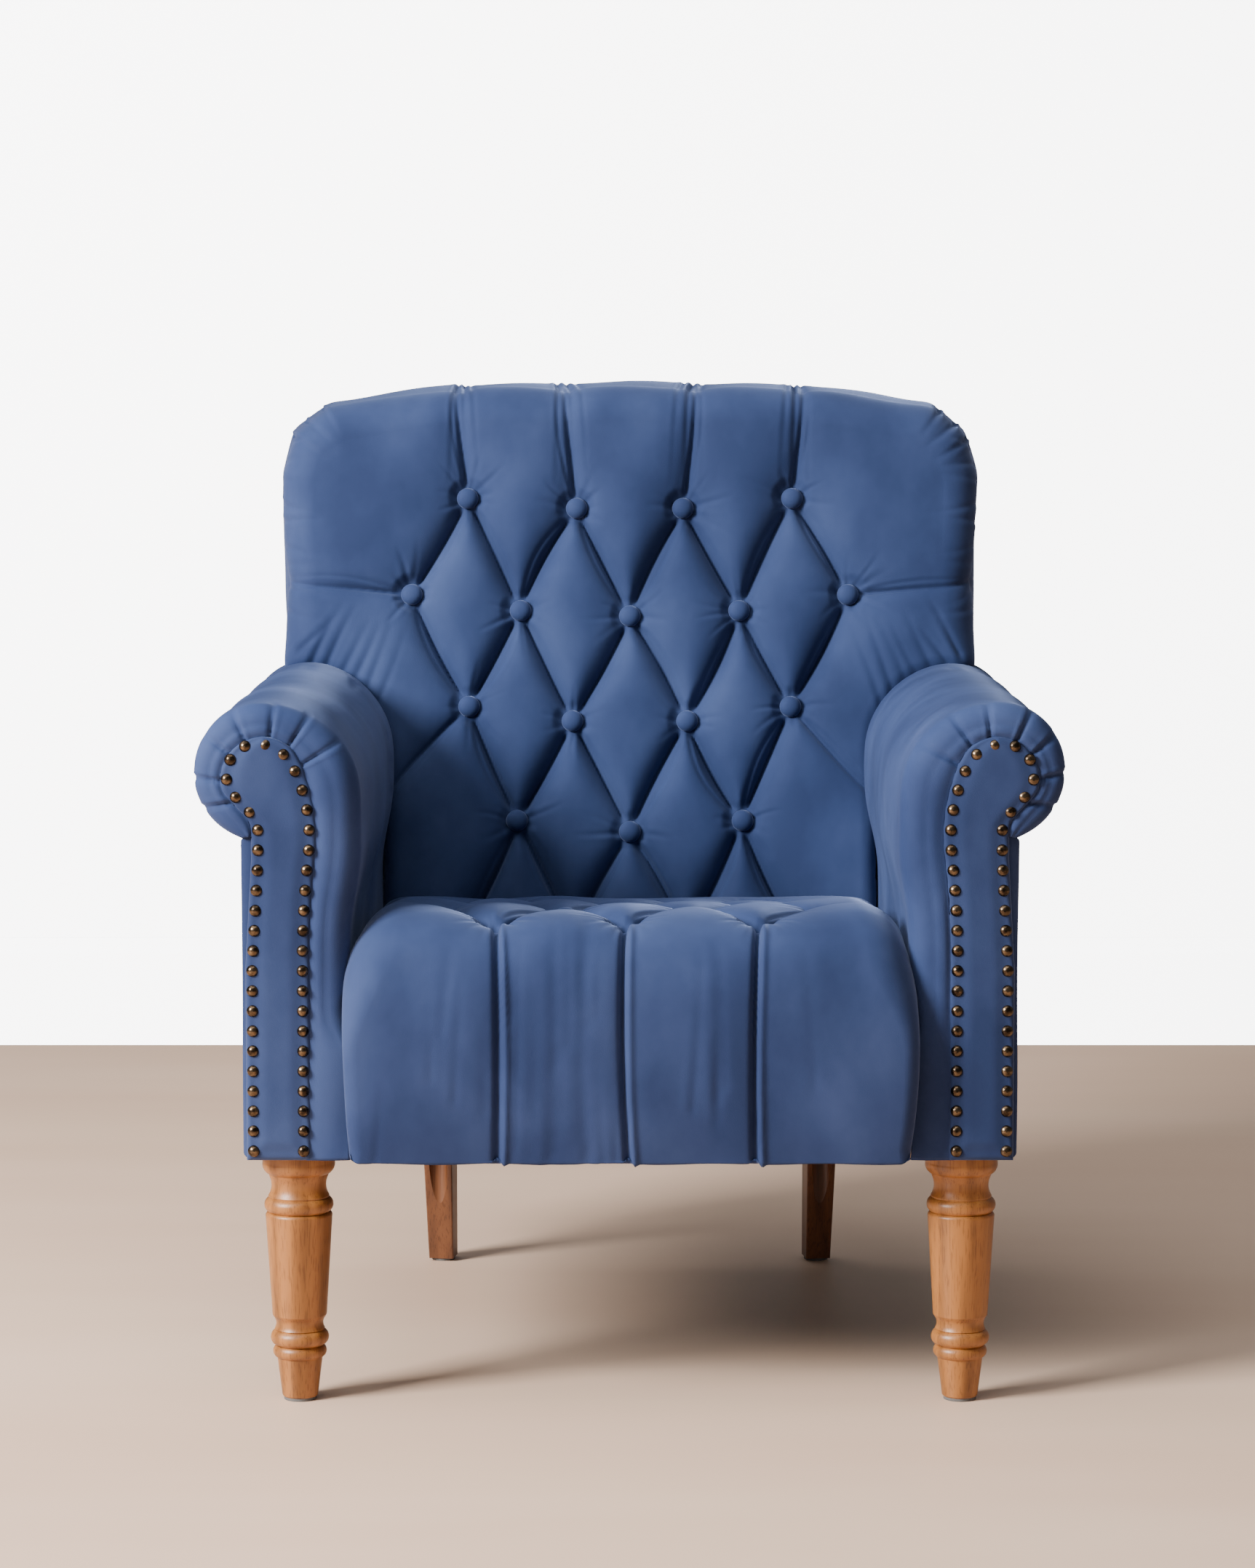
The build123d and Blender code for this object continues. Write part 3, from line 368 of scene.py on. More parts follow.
def settled(grid, hold, pressure, cap):
    """A grid of points after a cloth simulation, as the move of each point.

    Every third row and column makes a coarser cloth. hold is 1 where it is sewn down and 0 where it is free.
    Air pressure fills it from behind, with no weight on it. The move is capped, and spread back over the fine
    grid in straight lines between the coarse points.
    """
    rows, cols = grid.shape[:2]
    r = np.unique(np.r_[np.arange(0, rows, CLOTH_STRIDE), rows - 1])
    c = np.unique(np.r_[np.arange(0, cols, CLOTH_STRIDE), cols - 1])
    coarse = grid[np.ix_(r, c)]
    sewn = hold[np.ix_(r, c)].reshape(-1)
    cloth_mesh = bpy.data.meshes.new("settling")
    cloth_mesh.from_pydata(coarse.reshape(-1, 3).tolist(), [], quads(len(r), len(c)).tolist())
    sheet = bpy.data.objects.new("settling", cloth_mesh)
    bpy.context.scene.collection.objects.link(sheet)
    group = sheet.vertex_groups.new(name="sewn")
    for level in range(1, 11):
        group.add(np.flatnonzero(np.round(sewn * 10) == level).tolist(), level / 10, "REPLACE")
    cloth_modifier = sheet.modifiers.new("cloth", "CLOTH")
    settings = cloth_modifier.settings
    settings.quality = 5
    settings.mass = 0.25
    settings.tension_stiffness = 18
    settings.compression_stiffness = 14
    settings.shear_stiffness = 6
    settings.bending_stiffness = 6
    settings.shrink_min = 0.0
    settings.use_pressure = True
    settings.uniform_pressure_force = pressure
    settings.vertex_group_mass = "sewn"
    settings.effector_weights.gravity = 0
    cloth_modifier.collision_settings.use_collision = False
    cloth_modifier.collision_settings.use_self_collision = False
    cloth_modifier.point_cache.frame_end = CLOTH_FRAMES
    for frame_number in range(1, CLOTH_FRAMES + 1):
        bpy.context.scene.frame_set(frame_number)
    result = sheet.evaluated_get(bpy.context.evaluated_depsgraph_get()).to_mesh()
    moved = np.empty(len(result.vertices) * 3)
    result.vertices.foreach_get("co", moved)
    bpy.data.objects.remove(sheet)
    bpy.data.meshes.remove(cloth_mesh)
    bpy.context.scene.frame_set(1)
    move = moved.reshape(coarse.shape) - coarse
    size = np.linalg.norm(move, axis=2, keepdims=True)
    move = move * np.minimum(1, cap / np.maximum(size, 1e-9))
    tall = np.stack([[np.interp(np.arange(rows), r, move[:, k, axis]) for k in range(len(c))] for axis in range(3)], -1)
    return np.stack([[np.interp(np.arange(cols), c, tall[:, k, axis]) for k in range(rows)] for axis in range(3)], -1)


def mirrored(points):
    """The points and their mirror images across the middle plane, without repeats."""
    return sorted({(s * x, z) for x, z in points for s in (-1, 1) if x or s > 0})


BACK_STEP = 0.0017
BACK_EDGE_R = 0.036
BACK_LOW_EDGE_R = 0.006
BACK_CORNER = (0.350, 0.881)
BACK_LEAN = 0.267
FACE_FOOT = (0.110, 0.345)
BASE_Z = 0.230
REAR_FOOT_Y = 0.300
REAR_CREST = (0.4048, 0.910)
REAR_ROUND = 0.010
ARM_IN = 0.244
ROLL_MID = 0.332
ROLL_R = ROLL_MID - ARM_IN
ARM_TOP = 0.646
BEHIND_ARM_Y = 0.2445

half_outline = smoothed(
    np.array([(0.350, BASE_Z), (0.356, 0.604), (0.362, 0.836), BACK_CORNER, (0.316, 0.908), (0.187, 0.928),
              (0.0, 0.930)]), 0.001, 0.004)
side_r = BACK_LOW_EDGE_R + (BACK_EDGE_R - BACK_LOW_EDGE_R) * blend_in(half_outline[:, 1], 0.60, 0.68)
half_normal = across(half_outline)
TURN_SPREAD = 42  # points, a millimetre apart: the edge's direction turns slowly, so the rounding never folds over
turn_bell = bell_weights(np.arange(-3 * TURN_SPREAD, 3 * TURN_SPREAD + 1) / TURN_SPREAD)
mirror_end = half_normal[-2 : -3 * TURN_SPREAD - 2 : -1] * np.array([-1, 1])
long = np.concatenate([np.repeat(half_normal[:1], 3 * TURN_SPREAD, 0), half_normal, mirror_end])
half_normal = np.stack([np.convolve(long[:, k], turn_bell, "valid") for k in (0, 1)], -1)
half_normal /= np.linalg.norm(half_normal, axis=1)[:, None]
half_inset = half_outline - half_normal * side_r[:, None]
corner = int(np.argmin(np.hypot(half_outline[:, 0] - BACK_CORNER[0], half_outline[:, 1] - BACK_CORNER[1])))
rows = int(0.70 / BACK_STEP)
cols = int(0.66 / BACK_STEP) | 1


def along_outline(values, first, last, count):
    """Values of the half outline between two of its points, at equal distances along it."""
    part = half_outline[first : last + 1]
    leg = run_along(part)
    walk = np.linspace(0, leg[-1], count)
    return np.stack([np.interp(walk, leg, values[first : last + 1, k]) for k in range(values.shape[1])], -1)


# Loop values: inset x, z, normal x, z, radius
loop_values = np.column_stack([half_inset, half_normal, side_r])
right = along_outline(loop_values, 0, corner, rows)
top_right = along_outline(loop_values, corner, len(half_outline) - 1, cols // 2 + 1)
flip = np.array([-1, 1, -1, 1, 1])
top = np.concatenate([top_right * flip, top_right[-2::-1]])
left = right * flip
bottom = np.zeros((cols, 5))
bottom[:, 0] = np.linspace(left[0, 0], right[0, 0], cols)
bottom[:, 1] = right[0, 1]
bottom[:, 3] = -1
bottom[:, 4] = BACK_LOW_EDGE_R
a = np.linspace(0, 1, cols)[None, :, None]
b = np.linspace(0, 1, rows)[:, None, None]
patch = (
    (1 - a) * left[:, None, :2] + a * right[:, None, :2] + (1 - b) * bottom[None, :, :2] + b * top[None, :, :2]
    - (1 - a) * (1 - b) * left[0, :2] - a * (1 - b) * right[0, :2] - (1 - a) * b * left[-1, :2] - a * b * right[-1, :2]
)
# The loop round the patch, anticlockwise from the front: bottom, right side, top, left side
loop_index = grid_rim(rows, cols)
loop = np.concatenate([bottom, right[1:], top[::-1][1:], left[::-1][1:-1]])
loop_bell = bell_weights(np.arange(-6, 7) / 2.5)
for k in (2, 3, 4):
    loop[:, k] = np.convolve(np.r_[loop[-6:, k], loop[:, k], loop[:6, k]], loop_bell, "valid")
loop[:, 2:4] /= np.linalg.norm(loop[:, 2:4], axis=1)[:, None]


def face_y(z):
    """The cushion's front plane: it leans back with height."""
    return FACE_FOOT[0] + BACK_LEAN * (z - FACE_FOOT[1])


def rear_y(z):
    """The frame's rear plane, a straight line from the base to the crest."""
    return REAR_FOOT_Y + (REAR_CREST[0] - REAR_FOOT_Y) * (z - BASE_Z) / (REAR_CREST[1] - BASE_Z)


turns = np.linspace(0, np.pi / 2, max(4, int(1.57 * BACK_EDGE_R / BACK_STEP)))[1:]
spots, flats = [], []
for turn in turns:
    grown = loop[:, :2] + loop[:, 2:4] * (loop[:, 4] * np.sin(turn))[:, None]
    spots.append(np.column_stack([grown[:, 0], face_y(grown[:, 1]) + loop[:, 4] * (1 - np.cos(turn)), grown[:, 1]]))
    flats.append(loop[:, :2] + loop[:, 2:4] * (loop[:, 4] * turn)[:, None])
edge = spots[-1]
outer = edge[:, [0, 2]]
front_edge_y = edge[:, 1]
depth_left = rear_y(outer[:, 1]) - REAR_ROUND - front_edge_y
band = int(0.13 / (2 * BACK_STEP))
for k in range(1, band + 1):
    reach = depth_left * k / band
    sag = 0.004 * np.sin(np.pi * k / band) * blend_in(outer[:, 1], 0.62, 0.72)
    grown = outer + loop[:, 2:4] * sag[:, None]
    spots.append(np.column_stack([grown[:, 0], front_edge_y + reach, grown[:, 1]]))
    flats.append(flats[len(turns) - 1] + loop[:, 2:4] * reach[:, None])
for k in range(1, 7):
    turn = k / 6 * np.pi / 2
    grown = outer - loop[:, 2:4] * (REAR_ROUND * (1 - np.cos(turn)))
    spots.append(np.column_stack([grown[:, 0], front_edge_y + depth_left + REAR_ROUND * np.sin(turn), grown[:, 1]]))
    flats.append(flats[-1])
patch_flat = patch.reshape(-1, 2)
patch_points = np.column_stack([patch_flat[:, 0], face_y(patch_flat[:, 1]), patch_flat[:, 1]])
ring_count = len(loop)
base = len(patch_points)
strip_rings = base + np.arange(len(spots) * ring_count).reshape(len(spots), ring_count)
strip_index = np.vstack([loop_index[None, :], strip_rings])
strip = quads(len(spots) + 1, ring_count, wrap=True)
strip_faces = strip_index.reshape(-1)[strip]
back_points = np.concatenate([patch_points, np.concatenate(spots)])
back_flat = np.concatenate([patch_flat, np.concatenate(flats)])
back_faces = np.concatenate([quads(rows, cols), strip_faces[:, ::-1]])

HALF_TUFTS = (
    (0.168, 0.818), (0.056, 0.807), (0.226, 0.719), (0.114, 0.703), (0.0, 0.697), (0.166, 0.605), (0.059, 0.590),
    (0.115, 0.489), (0.0, 0.478), (0.172, 0.372), (0.058, 0.372),
)
BACK_TUFTS = mirrored(HALF_TUFTS[:9])
HIDDEN_TUFTS = mirrored(HALF_TUFTS[9:])
# Folds between two buttons, by their numbers in the list, then the four that run out to an edge
BUTTON_PAIRS = (
    (0, 2), (0, 3), (1, 3), (1, 4), (2, 5), (3, 5), (3, 6), (4, 6), (5, 7), (6, 7), (6, 8), (7, 9), (7, 10), (8, 10),
)
half_folds = [(HALF_TUFTS[a], HALF_TUFTS[b], 1, 1) for a, b in BUTTON_PAIRS] + [
    (HALF_TUFTS[0], (0.182, 0.985), 1, 0.0), (HALF_TUFTS[1], (0.070, 0.985), 1, 0.0),
    (HALF_TUFTS[2], (0.385, 0.728), 0.9, 0.0), (HALF_TUFTS[5], (0.262, 0.500), 0.9, 0.3),
]
fold_rng = np.random.default_rng(5)
back_folds = []
for a_end, b_end, start, end in half_folds:
    for s in (-1, 1):
        bow = fold_rng.uniform(-0.004, 0.004)
        back_folds.append(((s * a_end[0], a_end[1]), (s * b_end[0], b_end[1]), start, end, bow))

back_height, back_near = tufted(
    back_flat, BACK_TUFTS + HIDDEN_TUFTS, back_folds, pull=0.027, soft=0.016, dimple=0.0215, seed=11)
# Second and third pleats where the cloth goes over the crest, and gathers above each arm and along the sides
for x, lean, depth in ((0.170, 0.014, 0.0032), (0.157, 0.022, 0.0018), (0.186, 0.004, 0.0024),
                       (0.058, 0.014, 0.0030), (0.044, 0.020, 0.0016), (0.076, 0.004, 0.0020)):
    for s in (-1, 1):
        back_height += tuck(back_flat, (s * x, 0.835), (s * (x + lean), 1.05), depth, 0.0024, s * 0.003, 0.1, 1.0)
side_rng = np.random.default_rng(23)
for s in (-1, 1):
    for k in range(7):
        z = 0.655 + 0.004 * k + side_rng.uniform(0, 0.004)
        x = 0.262 + 0.013 * k
        above = (s * (x - 0.035), z + side_rng.uniform(0.01, 0.05))
        back_height += tuck(back_flat, (s * x, z - 0.06 + 0.006 * k), above,
                            side_rng.uniform(0.001, 0.0022), 0.0035, side_rng.uniform(-0.003, 0.003), 1.0, 0.0)
    for k in range(9):
        z = 0.70 + 0.022 * k
        inwards = (s * (0.325 - side_rng.uniform(0, 0.03)), z - side_rng.uniform(-0.01, 0.02))
        back_height += tuck(back_flat, (s * 0.385, z), inwards,
                            side_rng.uniform(0.0006, 0.0013), 0.0030, 0, 1.0, 0.0)
    for x, z, dx, dz in ((0.352, 0.898, -0.05, -0.035), (0.368, 0.872, -0.055, -0.02), (0.330, 0.925, -0.03, -0.05)):
        back_height += tuck(
            back_flat, (s * (x + 0.03), z + 0.03), (s * (x + dx), z + dz), 0.003, 0.0032, 0.002, 1.0, 0.0)
slow = (np.sin(back_flat[:, 0] * 23 + 1.3) * np.sin(back_flat[:, 1] * 19 + 0.4)
        + 0.6 * np.sin(back_flat[:, 0] * 51 - back_flat[:, 1] * 37))
back_height += 0.0011 * slow

# Behind the arms and under the seat the cushion steps back to the frame, with a rolled edge
ax = np.abs(back_flat[:, 0])
az = back_flat[:, 1]
roll_d = np.hypot(ax - ROLL_MID, az - (ARM_TOP - ROLL_R)) - ROLL_R
over_roll = np.where(ax < ROLL_MID, roll_d, az - ARM_TOP)
clear = np.where(az < ARM_TOP - ROLL_R, ARM_IN - ax, over_roll)
clear = np.minimum(np.where(ax < ARM_IN, np.maximum(clear, ARM_IN - ax), clear), az - 0.385)
ROLLED = 0.018
clear = clear + ROLLED / 2
set_back = ROLLED * (1 - quarter_round(clear / ROLLED))
back_out = surface_normals(back_points, back_faces)
back_points = back_points + back_out * (back_height * blend_in(clear, -0.001, 0.012))[:, None]
push = back_points[:, 1] < BEHIND_ARM_Y
back_points[push, 1] += set_back[push]
hidden = push & (clear <= 0)
back_points[hidden, 1] = BEHIND_ARM_Y
patch_count = rows * cols
held = np.exp(-((back_near[:patch_count] / 0.009) ** 2)) + 1 - blend_in(clear[:patch_count], 0.012, 0.035)
for x, z in BACK_TUFTS:
    held += np.exp(-((np.hypot(*(patch_flat - (x, z)).T) / 0.017) ** 4))
held = np.clip(held, 0, 1).reshape(rows, cols)
held[:3] = held[-3:] = 1
held[:, :3] = held[:, -3:] = 1
move = settled(back_points[:patch_count].reshape(rows, cols, 3), held, CLOTH_PRESSURE, cap=0.007)
back_points[:patch_count] += move.reshape(-1, 3)
# The rear edge turns in behind the outside panel, and is closed there
rear_ring = base + (len(spots) - 1) * ring_count + np.arange(ring_count)
turned_in = []
for inset, forward in ((0.004, 0.0005), (0.008, 0.004), (0.010, 0.014)):
    ring = back_points[rear_ring].copy()
    ring[:, [0, 2]] -= loop[:, 2:4] * inset
    ring[:, 1] = rear_y(ring[:, 2]) - forward
    turned_in.append(ring)
first_new = len(back_points)
back_points = np.concatenate([back_points] + turned_in)
ring_rows = np.vstack([rear_ring] + [first_new + k * ring_count + np.arange(ring_count) for k in range(3)])
back_faces = np.concatenate([back_faces, ring_rows.reshape(-1)[quads(4, ring_count, wrap=True)][:, ::-1]])
rear_ring = ring_rows[-1]
middle = back_points[rear_ring].mean(0)
back_points = np.vstack([back_points, middle])
rear_fan = fan(rear_ring, len(back_points) - 1)
back_cushion = mesh_piece("back_cushion", back_points, [back_faces, rear_fan], velvet.material)
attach(back_cushion, "root")
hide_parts("back_cover", "back_foam", "back_edge_padding")


# ---------------------------------------------------------------- outside back
# Card under a layer of batting and velvet closes the rear of the frame, hand-sewn along its edge.
# It is flat but for a rounded edge and a slight swell of the batting.

BACK_PANEL_INSET = 0.0085
panel_loop = loop[::4]
panel_edge = outer[::4]
centre_z = 0.60
panel_rings = []
for step_in in (0, 0.0015, 0.003, 0.0045, 0.006):
    ring = panel_edge - panel_loop[:, 2:4] * (BACK_PANEL_INSET + step_in)
    rise = -0.004 + 0.0075 * quarter_round(step_in / 0.006)
    panel_rings.append(np.column_stack([ring[:, 0], rear_y(ring[:, 1]) + rise, ring[:, 1]]))
# Inside its rounded edge the panel's rings shrink straight to one centre, so that none cross at the sharp corners
last_flat = panel_rings[-1][:, [0, 2]]
for part in np.linspace(0, 1, 26)[1:-1]:
    ring = last_flat + (np.array([0, centre_z]) - last_flat) * part
    ring_y = rear_y(ring[:, 1]) + 0.0035 + 0.0015 * min(part / 0.3, 1)
    panel_rings.append(np.column_stack([ring[:, 0], ring_y, ring[:, 1]]))
under_ring = panel_rings[0].copy()
under_ring[:, 1] -= 0.002
panel_points = np.concatenate([under_ring[None], np.array(panel_rings)])
rings_n, around_n = panel_points.shape[:2]
panel_points = panel_points.reshape(-1, 3)
panel_points[:, 1] += 0.0007 * np.sin(panel_points[:, 0] * 21 + 0.5) * np.sin(panel_points[:, 2] * 17)
centre_y = rear_y(centre_z)
panel_points = np.vstack([panel_points, [0, centre_y + 0.005, centre_z], [0, centre_y - 0.006, centre_z]])
ring = np.arange(around_n)
outer_fan = fan(ring + (rings_n - 1) * around_n, rings_n * around_n)[:, ::-1]
inner_fan = fan(ring, rings_n * around_n + 1)[:, [2, 0, 1]]
panel_faces = [quads(rings_n, around_n, wrap=True)[:, ::-1], outer_fan, inner_fan]
outside_back = mesh_piece("outside_back", panel_points, panel_faces, velvet.material)
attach(outside_back, "root")
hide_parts("outside_back_panel")


# ---------------------------------------------------------------- seat cushion
# Foam over springs under velvet, tufted on top, with a plain front border that runs down over the front rail.
# Three pleats cross the border from the first row of buttons to the bottom edge.

SEAT_STEP = 0.0020
SEAT_HALF_LOW = 0.2525
SEAT_HALF_WIDE = 0.2605
SEAT_ROWS = (-0.335, -0.238, -0.141, -0.044, 0.053)

seat_line = smoothed(
    np.array([(-0.398, 0.2310), (-0.4025, 0.262), (-0.4045, 0.300), (-0.4040, 0.350), (-0.4005, 0.392), (-0.391, 0.421),
              (-0.372, 0.4435), (-0.343, 0.4555), (-0.305, 0.4580), (-0.240, 0.4535), (-0.141, 0.444), (-0.044, 0.433),
              (0.053, 0.421), (0.110, 0.413), (0.130, 0.395), (0.130, 0.334)]), SEAT_STEP, 0.010)
under_line = spaced(np.array([seat_line[-1], (0.128, 0.3315), (-0.371, 0.3315), (-0.371, 0.2310), seat_line[0]]), 160)
profile = np.concatenate([seat_line, under_line[1:-1]])
count_top = len(seat_line)
out_dir = -across(np.concatenate([profile[-3:], profile, profile[:3]]))[3:-3]
seat_run = run_along(profile)
seat_half = SEAT_HALF_LOW + (SEAT_HALF_WIDE - SEAT_HALF_LOW) * np.sin(np.pi * np.clip(seat_run / 0.26, 0, 1) ** 0.8)
on_top = np.arange(len(profile)) < count_top
top_round = 0.014 + 0.032 * blend_in(seat_run, 0.10, 0.20) * (1 - blend_in(seat_run, 0.66, 0.72))
side_round = np.where(on_top, top_round, 0.004)
side_round = np.convolve(np.r_[side_round[-6:], side_round, side_round[:6]], np.ones(13) / 13, "valid")

seat_cols = int(2 * 0.215 / SEAT_STEP) | 1
round_cols = max(6, int(0.07 / SEAT_STEP))
side_turns = [np.pi / 2 * k / round_cols for k in range(round_cols + 1)]
inner_half = seat_half - side_round


def side_column(s, turn):
    """A column of points on a rounded side, s = -1 left or 1 right, turn = 0 at the side and pi / 2 on top: its x,
    its drop below the top and its x on flat cloth."""
    return (s * (inner_half + side_round * np.cos(turn)), side_round * (1 - np.sin(turn)),
            s * (inner_half + side_round * (np.pi / 2 - turn)))


columns = [side_column(-1, turn) for turn in side_turns]
columns += [(mid * inner_half, 0 * inner_half, mid * inner_half) for mid in np.linspace(-1, 1, seat_cols)[1:-1]]
columns += [side_column(1, turn) for turn in side_turns[::-1]]
side_x, side_drop, side_flat = (np.array(v).T for v in zip(*columns))
seat_grid = np.stack([
    side_x,
    profile[:, :1] - side_drop * out_dir[:, :1],
    profile[:, 1:] - side_drop * out_dir[:, 1:],
], -1)
width = seat_grid.shape[1]
seat_points = seat_grid.reshape(-1, 3)
seat_faces = quads(len(profile), width)
last_row = (len(profile) - 1) * width
seal = np.stack([np.arange(width - 1) + last_row, np.arange(1, width) + last_row,
                 np.arange(1, width), np.arange(width - 1)], -1)
seat_faces = np.concatenate([seat_faces, seal])
row_run = [
    seat_run[:count_top][np.argmin(np.hypot(seat_line[:, 0] - y, (seat_line[:, 1] - 0.452) * 0.3))] for y in SEAT_ROWS]
ROWS_OF_THREE = (-0.123, -0.004, 0.117)
ROWS_OF_FOUR = (-0.18, -0.06, 0.06, 0.18)
SEAT_TUFTS = [(x, run) for k, run in enumerate(row_run) for x in (ROWS_OF_THREE if k % 2 == 0 else ROWS_OF_FOUR)]
seat_rng = np.random.default_rng(31)
seat_folds = []
for x, run in SEAT_TUFTS:
    for other_x, other_run in SEAT_TUFTS:
        if 0.05 < other_run - run < 0.15 and abs(other_x - x) < 0.08:
            seat_folds.append(((x, run), (other_x, other_run), 1, 1, seat_rng.uniform(-0.003, 0.003)))
for run, xs in ((row_run[1], (-0.18, 0.18)), (row_run[3], (-0.18, 0.18))):
    for x in xs:
        seat_folds.append(((x, run), (1.75 * x, run + 0.01), 0.9, 0.3, 0.002))
seat_flat = np.stack([side_flat, np.broadcast_to(seat_run[:, None], side_flat.shape)], -1).reshape(-1, 2)
is_top = np.repeat(on_top, width)
seat_height = np.zeros(len(seat_points))
seat_near = np.full(len(seat_points), 1.0)
seat_height[is_top], seat_near[is_top] = tufted(
    seat_flat[is_top], SEAT_TUFTS, seat_folds, pull=0.021, soft=0.016, dimple=0.0185, seed=41)
# The border's three pleats, each a valley and a fine second line, and faint upright creases between them
for x, foot, wander in ((-0.123, -0.121, 0.003), (-0.004, -0.001, -0.004), (0.117, 0.113, -0.003)):
    first = row_run[0]
    seat_height += is_top * tuck(seat_flat, (x, first), (foot, -0.02), 0.0062, 0.0030, wander, 1.0, 0.75)
    seat_height += is_top * tuck(
        seat_flat, (x + 0.001, first), (foot + 0.0035, -0.02), 0.0022, 0.0018, wander * 1.6, 1.0, 1.0)
    part, side, past = fold_place(seat_flat, (x, first), (foot, -0.02), wander)
    seat_height -= is_top * 0.0040 * (1 - part) ** 1.5 * np.exp(-np.abs(side) / 0.012) * np.exp(-((past / 0.008) ** 2))
    seat_height -= is_top * 0.0012 * np.exp(-np.abs(side) / 0.006) * np.exp(-((past / 0.008) ** 2))
    for s in (-1, 1):
        for k in range(3):
            below = (x + s * (0.012 + 0.014 * k), first - 0.055 + 0.014 * k)
            seat_height += is_top * tuck(seat_flat, (x, first - 0.004), below, 0.0016, 0.0028, s * 0.002, 1.0, 0.0)
for k in range(34):
    x = seat_rng.uniform(-0.235, 0.235) if k % 2 else seat_rng.uniform(-0.11, 0.0)
    low, high = np.sort(seat_rng.uniform(0.01, 0.24, 2))
    seat_height += is_top * tuck(seat_flat, (x, low - 0.01), (x + seat_rng.uniform(-0.008, 0.008), high + 0.03),
                                 seat_rng.uniform(0.0003, 0.0009), seat_rng.uniform(0.003, 0.006), 0, 0.8, 0.2)
seat_height += is_top * 0.0012 * (np.sin(seat_flat[:, 0] * 31 + 0.7) * np.sin(seat_flat[:, 1] * 26)
                                  + 0.5 * np.sin(seat_flat[:, 0] * 63 + seat_flat[:, 1] * 29))
seat_out = surface_normals(seat_points, seat_faces)
turned = 1 if seat_out[(count_top // 2) * width + width // 2, 2] > 0 else -1
seat_faces = seat_faces if turned > 0 else seat_faces[:, ::-1]
seat_out = seat_out * turned
seat_points = seat_points + seat_out * seat_height[:, None]
held = np.exp(-((seat_near / 0.009) ** 2)).reshape(len(profile), width)[:count_top]
for x, run in SEAT_TUFTS:
    held += np.exp(-((np.hypot(*(seat_flat - (x, run)).T) / 0.017) ** 4)).reshape(len(profile), width)[:count_top]
held += np.exp(-((np.abs(np.arange(width) - width / 2) - width / 2) / 12.0) ** 2)[None, :]
for x in ROWS_OF_THREE:
    held += (np.exp(-(((side_flat - x) / 0.008) ** 2)) * (seat_run < row_run[0])[:, None])[:count_top]
held = np.clip(held, 0, 1)
held[:4] = held[-6:] = 1
top_points = seat_points[: count_top * width].reshape(count_top, width, 3)
move = settled(top_points, held, CLOTH_PRESSURE * turned, cap=0.006)
seat_points[: count_top * width] += move.reshape(-1, 3)
caps = []
for column in (0, width - 1):
    ring = np.arange(len(profile)) * width + column
    seat_points = np.vstack([seat_points, seat_points[ring].mean(0)])
    cap = fan(ring, len(seat_points) - 1)
    caps.append(cap[:, ::-1] if (column == 0) == (turned > 0) else cap)
seat_cushion = mesh_piece("seat_cushion", seat_points, [seat_faces] + caps, velvet.material)
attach(seat_cushion, "root")
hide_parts("seat_cover", "seat_foam")


# ---------------------------------------------------------------- arms
# Each arm is a padded sleeve round two boards. The velvet comes up the inner wall, over the roll and under it,
# and is pleated round the head at the front, where the nailed facing covers its edge.

# The arms take their own copy of the velvet. Its colour is painted 1.15 times lighter as painted light, and it has less
# sheen at its edges than on the cushions
arm_velvet = velvet_cloth("blue_velvet_painted_lighter", 1.15, 0.16)

ARM_STEP = 0.0030
ARM_FRONT_Y = -0.373
ARM_REAR_Y = 0.239
ROLL_EDGE_R = 0.022


def arc_on(start, heading, end, count):
    """Points of the circular arc that leaves start along heading and ends at end, and the heading there."""
    start, heading, end = (np.asarray(v, float) for v in (start, heading, end))
    heading = heading / np.hypot(*heading)
    left_of = np.array([-heading[1], heading[0]])
    chord = end - start
    bulge = chord @ left_of
    radius = (chord @ chord) / (2 * bulge)
    centre = start + left_of * radius
    sweep = 2 * np.arctan2(bulge, chord @ heading)
    angle = np.linspace(0, sweep, count)[:, None]
    from_centre = start - centre
    turned_x = from_centre[0] * np.cos(angle) - from_centre[1] * np.sin(angle)
    turned_y = from_centre[0] * np.sin(angle) + from_centre[1] * np.cos(angle)
    last = np.array([heading[0] * np.cos(sweep) - heading[1] * np.sin(sweep),
                     heading[0] * np.sin(sweep) + heading[1] * np.cos(sweep)])
    return np.column_stack([centre[0] + turned_x, centre[1] + turned_y]), last


def joined(*runs):
    """Runs of points end to end, each start that repeats an end left out."""
    return np.concatenate([runs[0]] + [run[1:] for run in runs[1:]])


def turned_for(side, groups):
    """Face groups of a right-hand piece, turned over for the left-hand one, whose points are mirrored."""
    return groups if side > 0 else [g[:, ::-1] for g in groups]


# The facing's edge from its inner foot over the head to the throat, as in the frame
shank = np.array([(0.289, 0.230), (0.289, 0.405)])
waist, to_neck = arc_on((0.289, 0.405), (0, 1), (0.283, 0.510), 40)
neck, to_crown = arc_on((0.283, 0.510), to_neck, (0.297, 0.595), 40)
crown, to_head = arc_on((0.297, 0.595), to_crown, (0.3305, 0.616), 30)
head, to_under = arc_on((0.3305, 0.616), to_head, (0.3695, 0.579), 40)
lobe, _ = arc_on((0.3695, 0.579), to_under, (0.3625, 0.560), 20)
under = np.array([(0.3625, 0.560), (0.3485, 0.545)])
throat, _ = arc_on((0.3485, 0.545), under[1] - under[0], (0.342, 0.526), 20)
facing_edge = joined(shank, waist, neck, crown, head, lobe, under, throat)
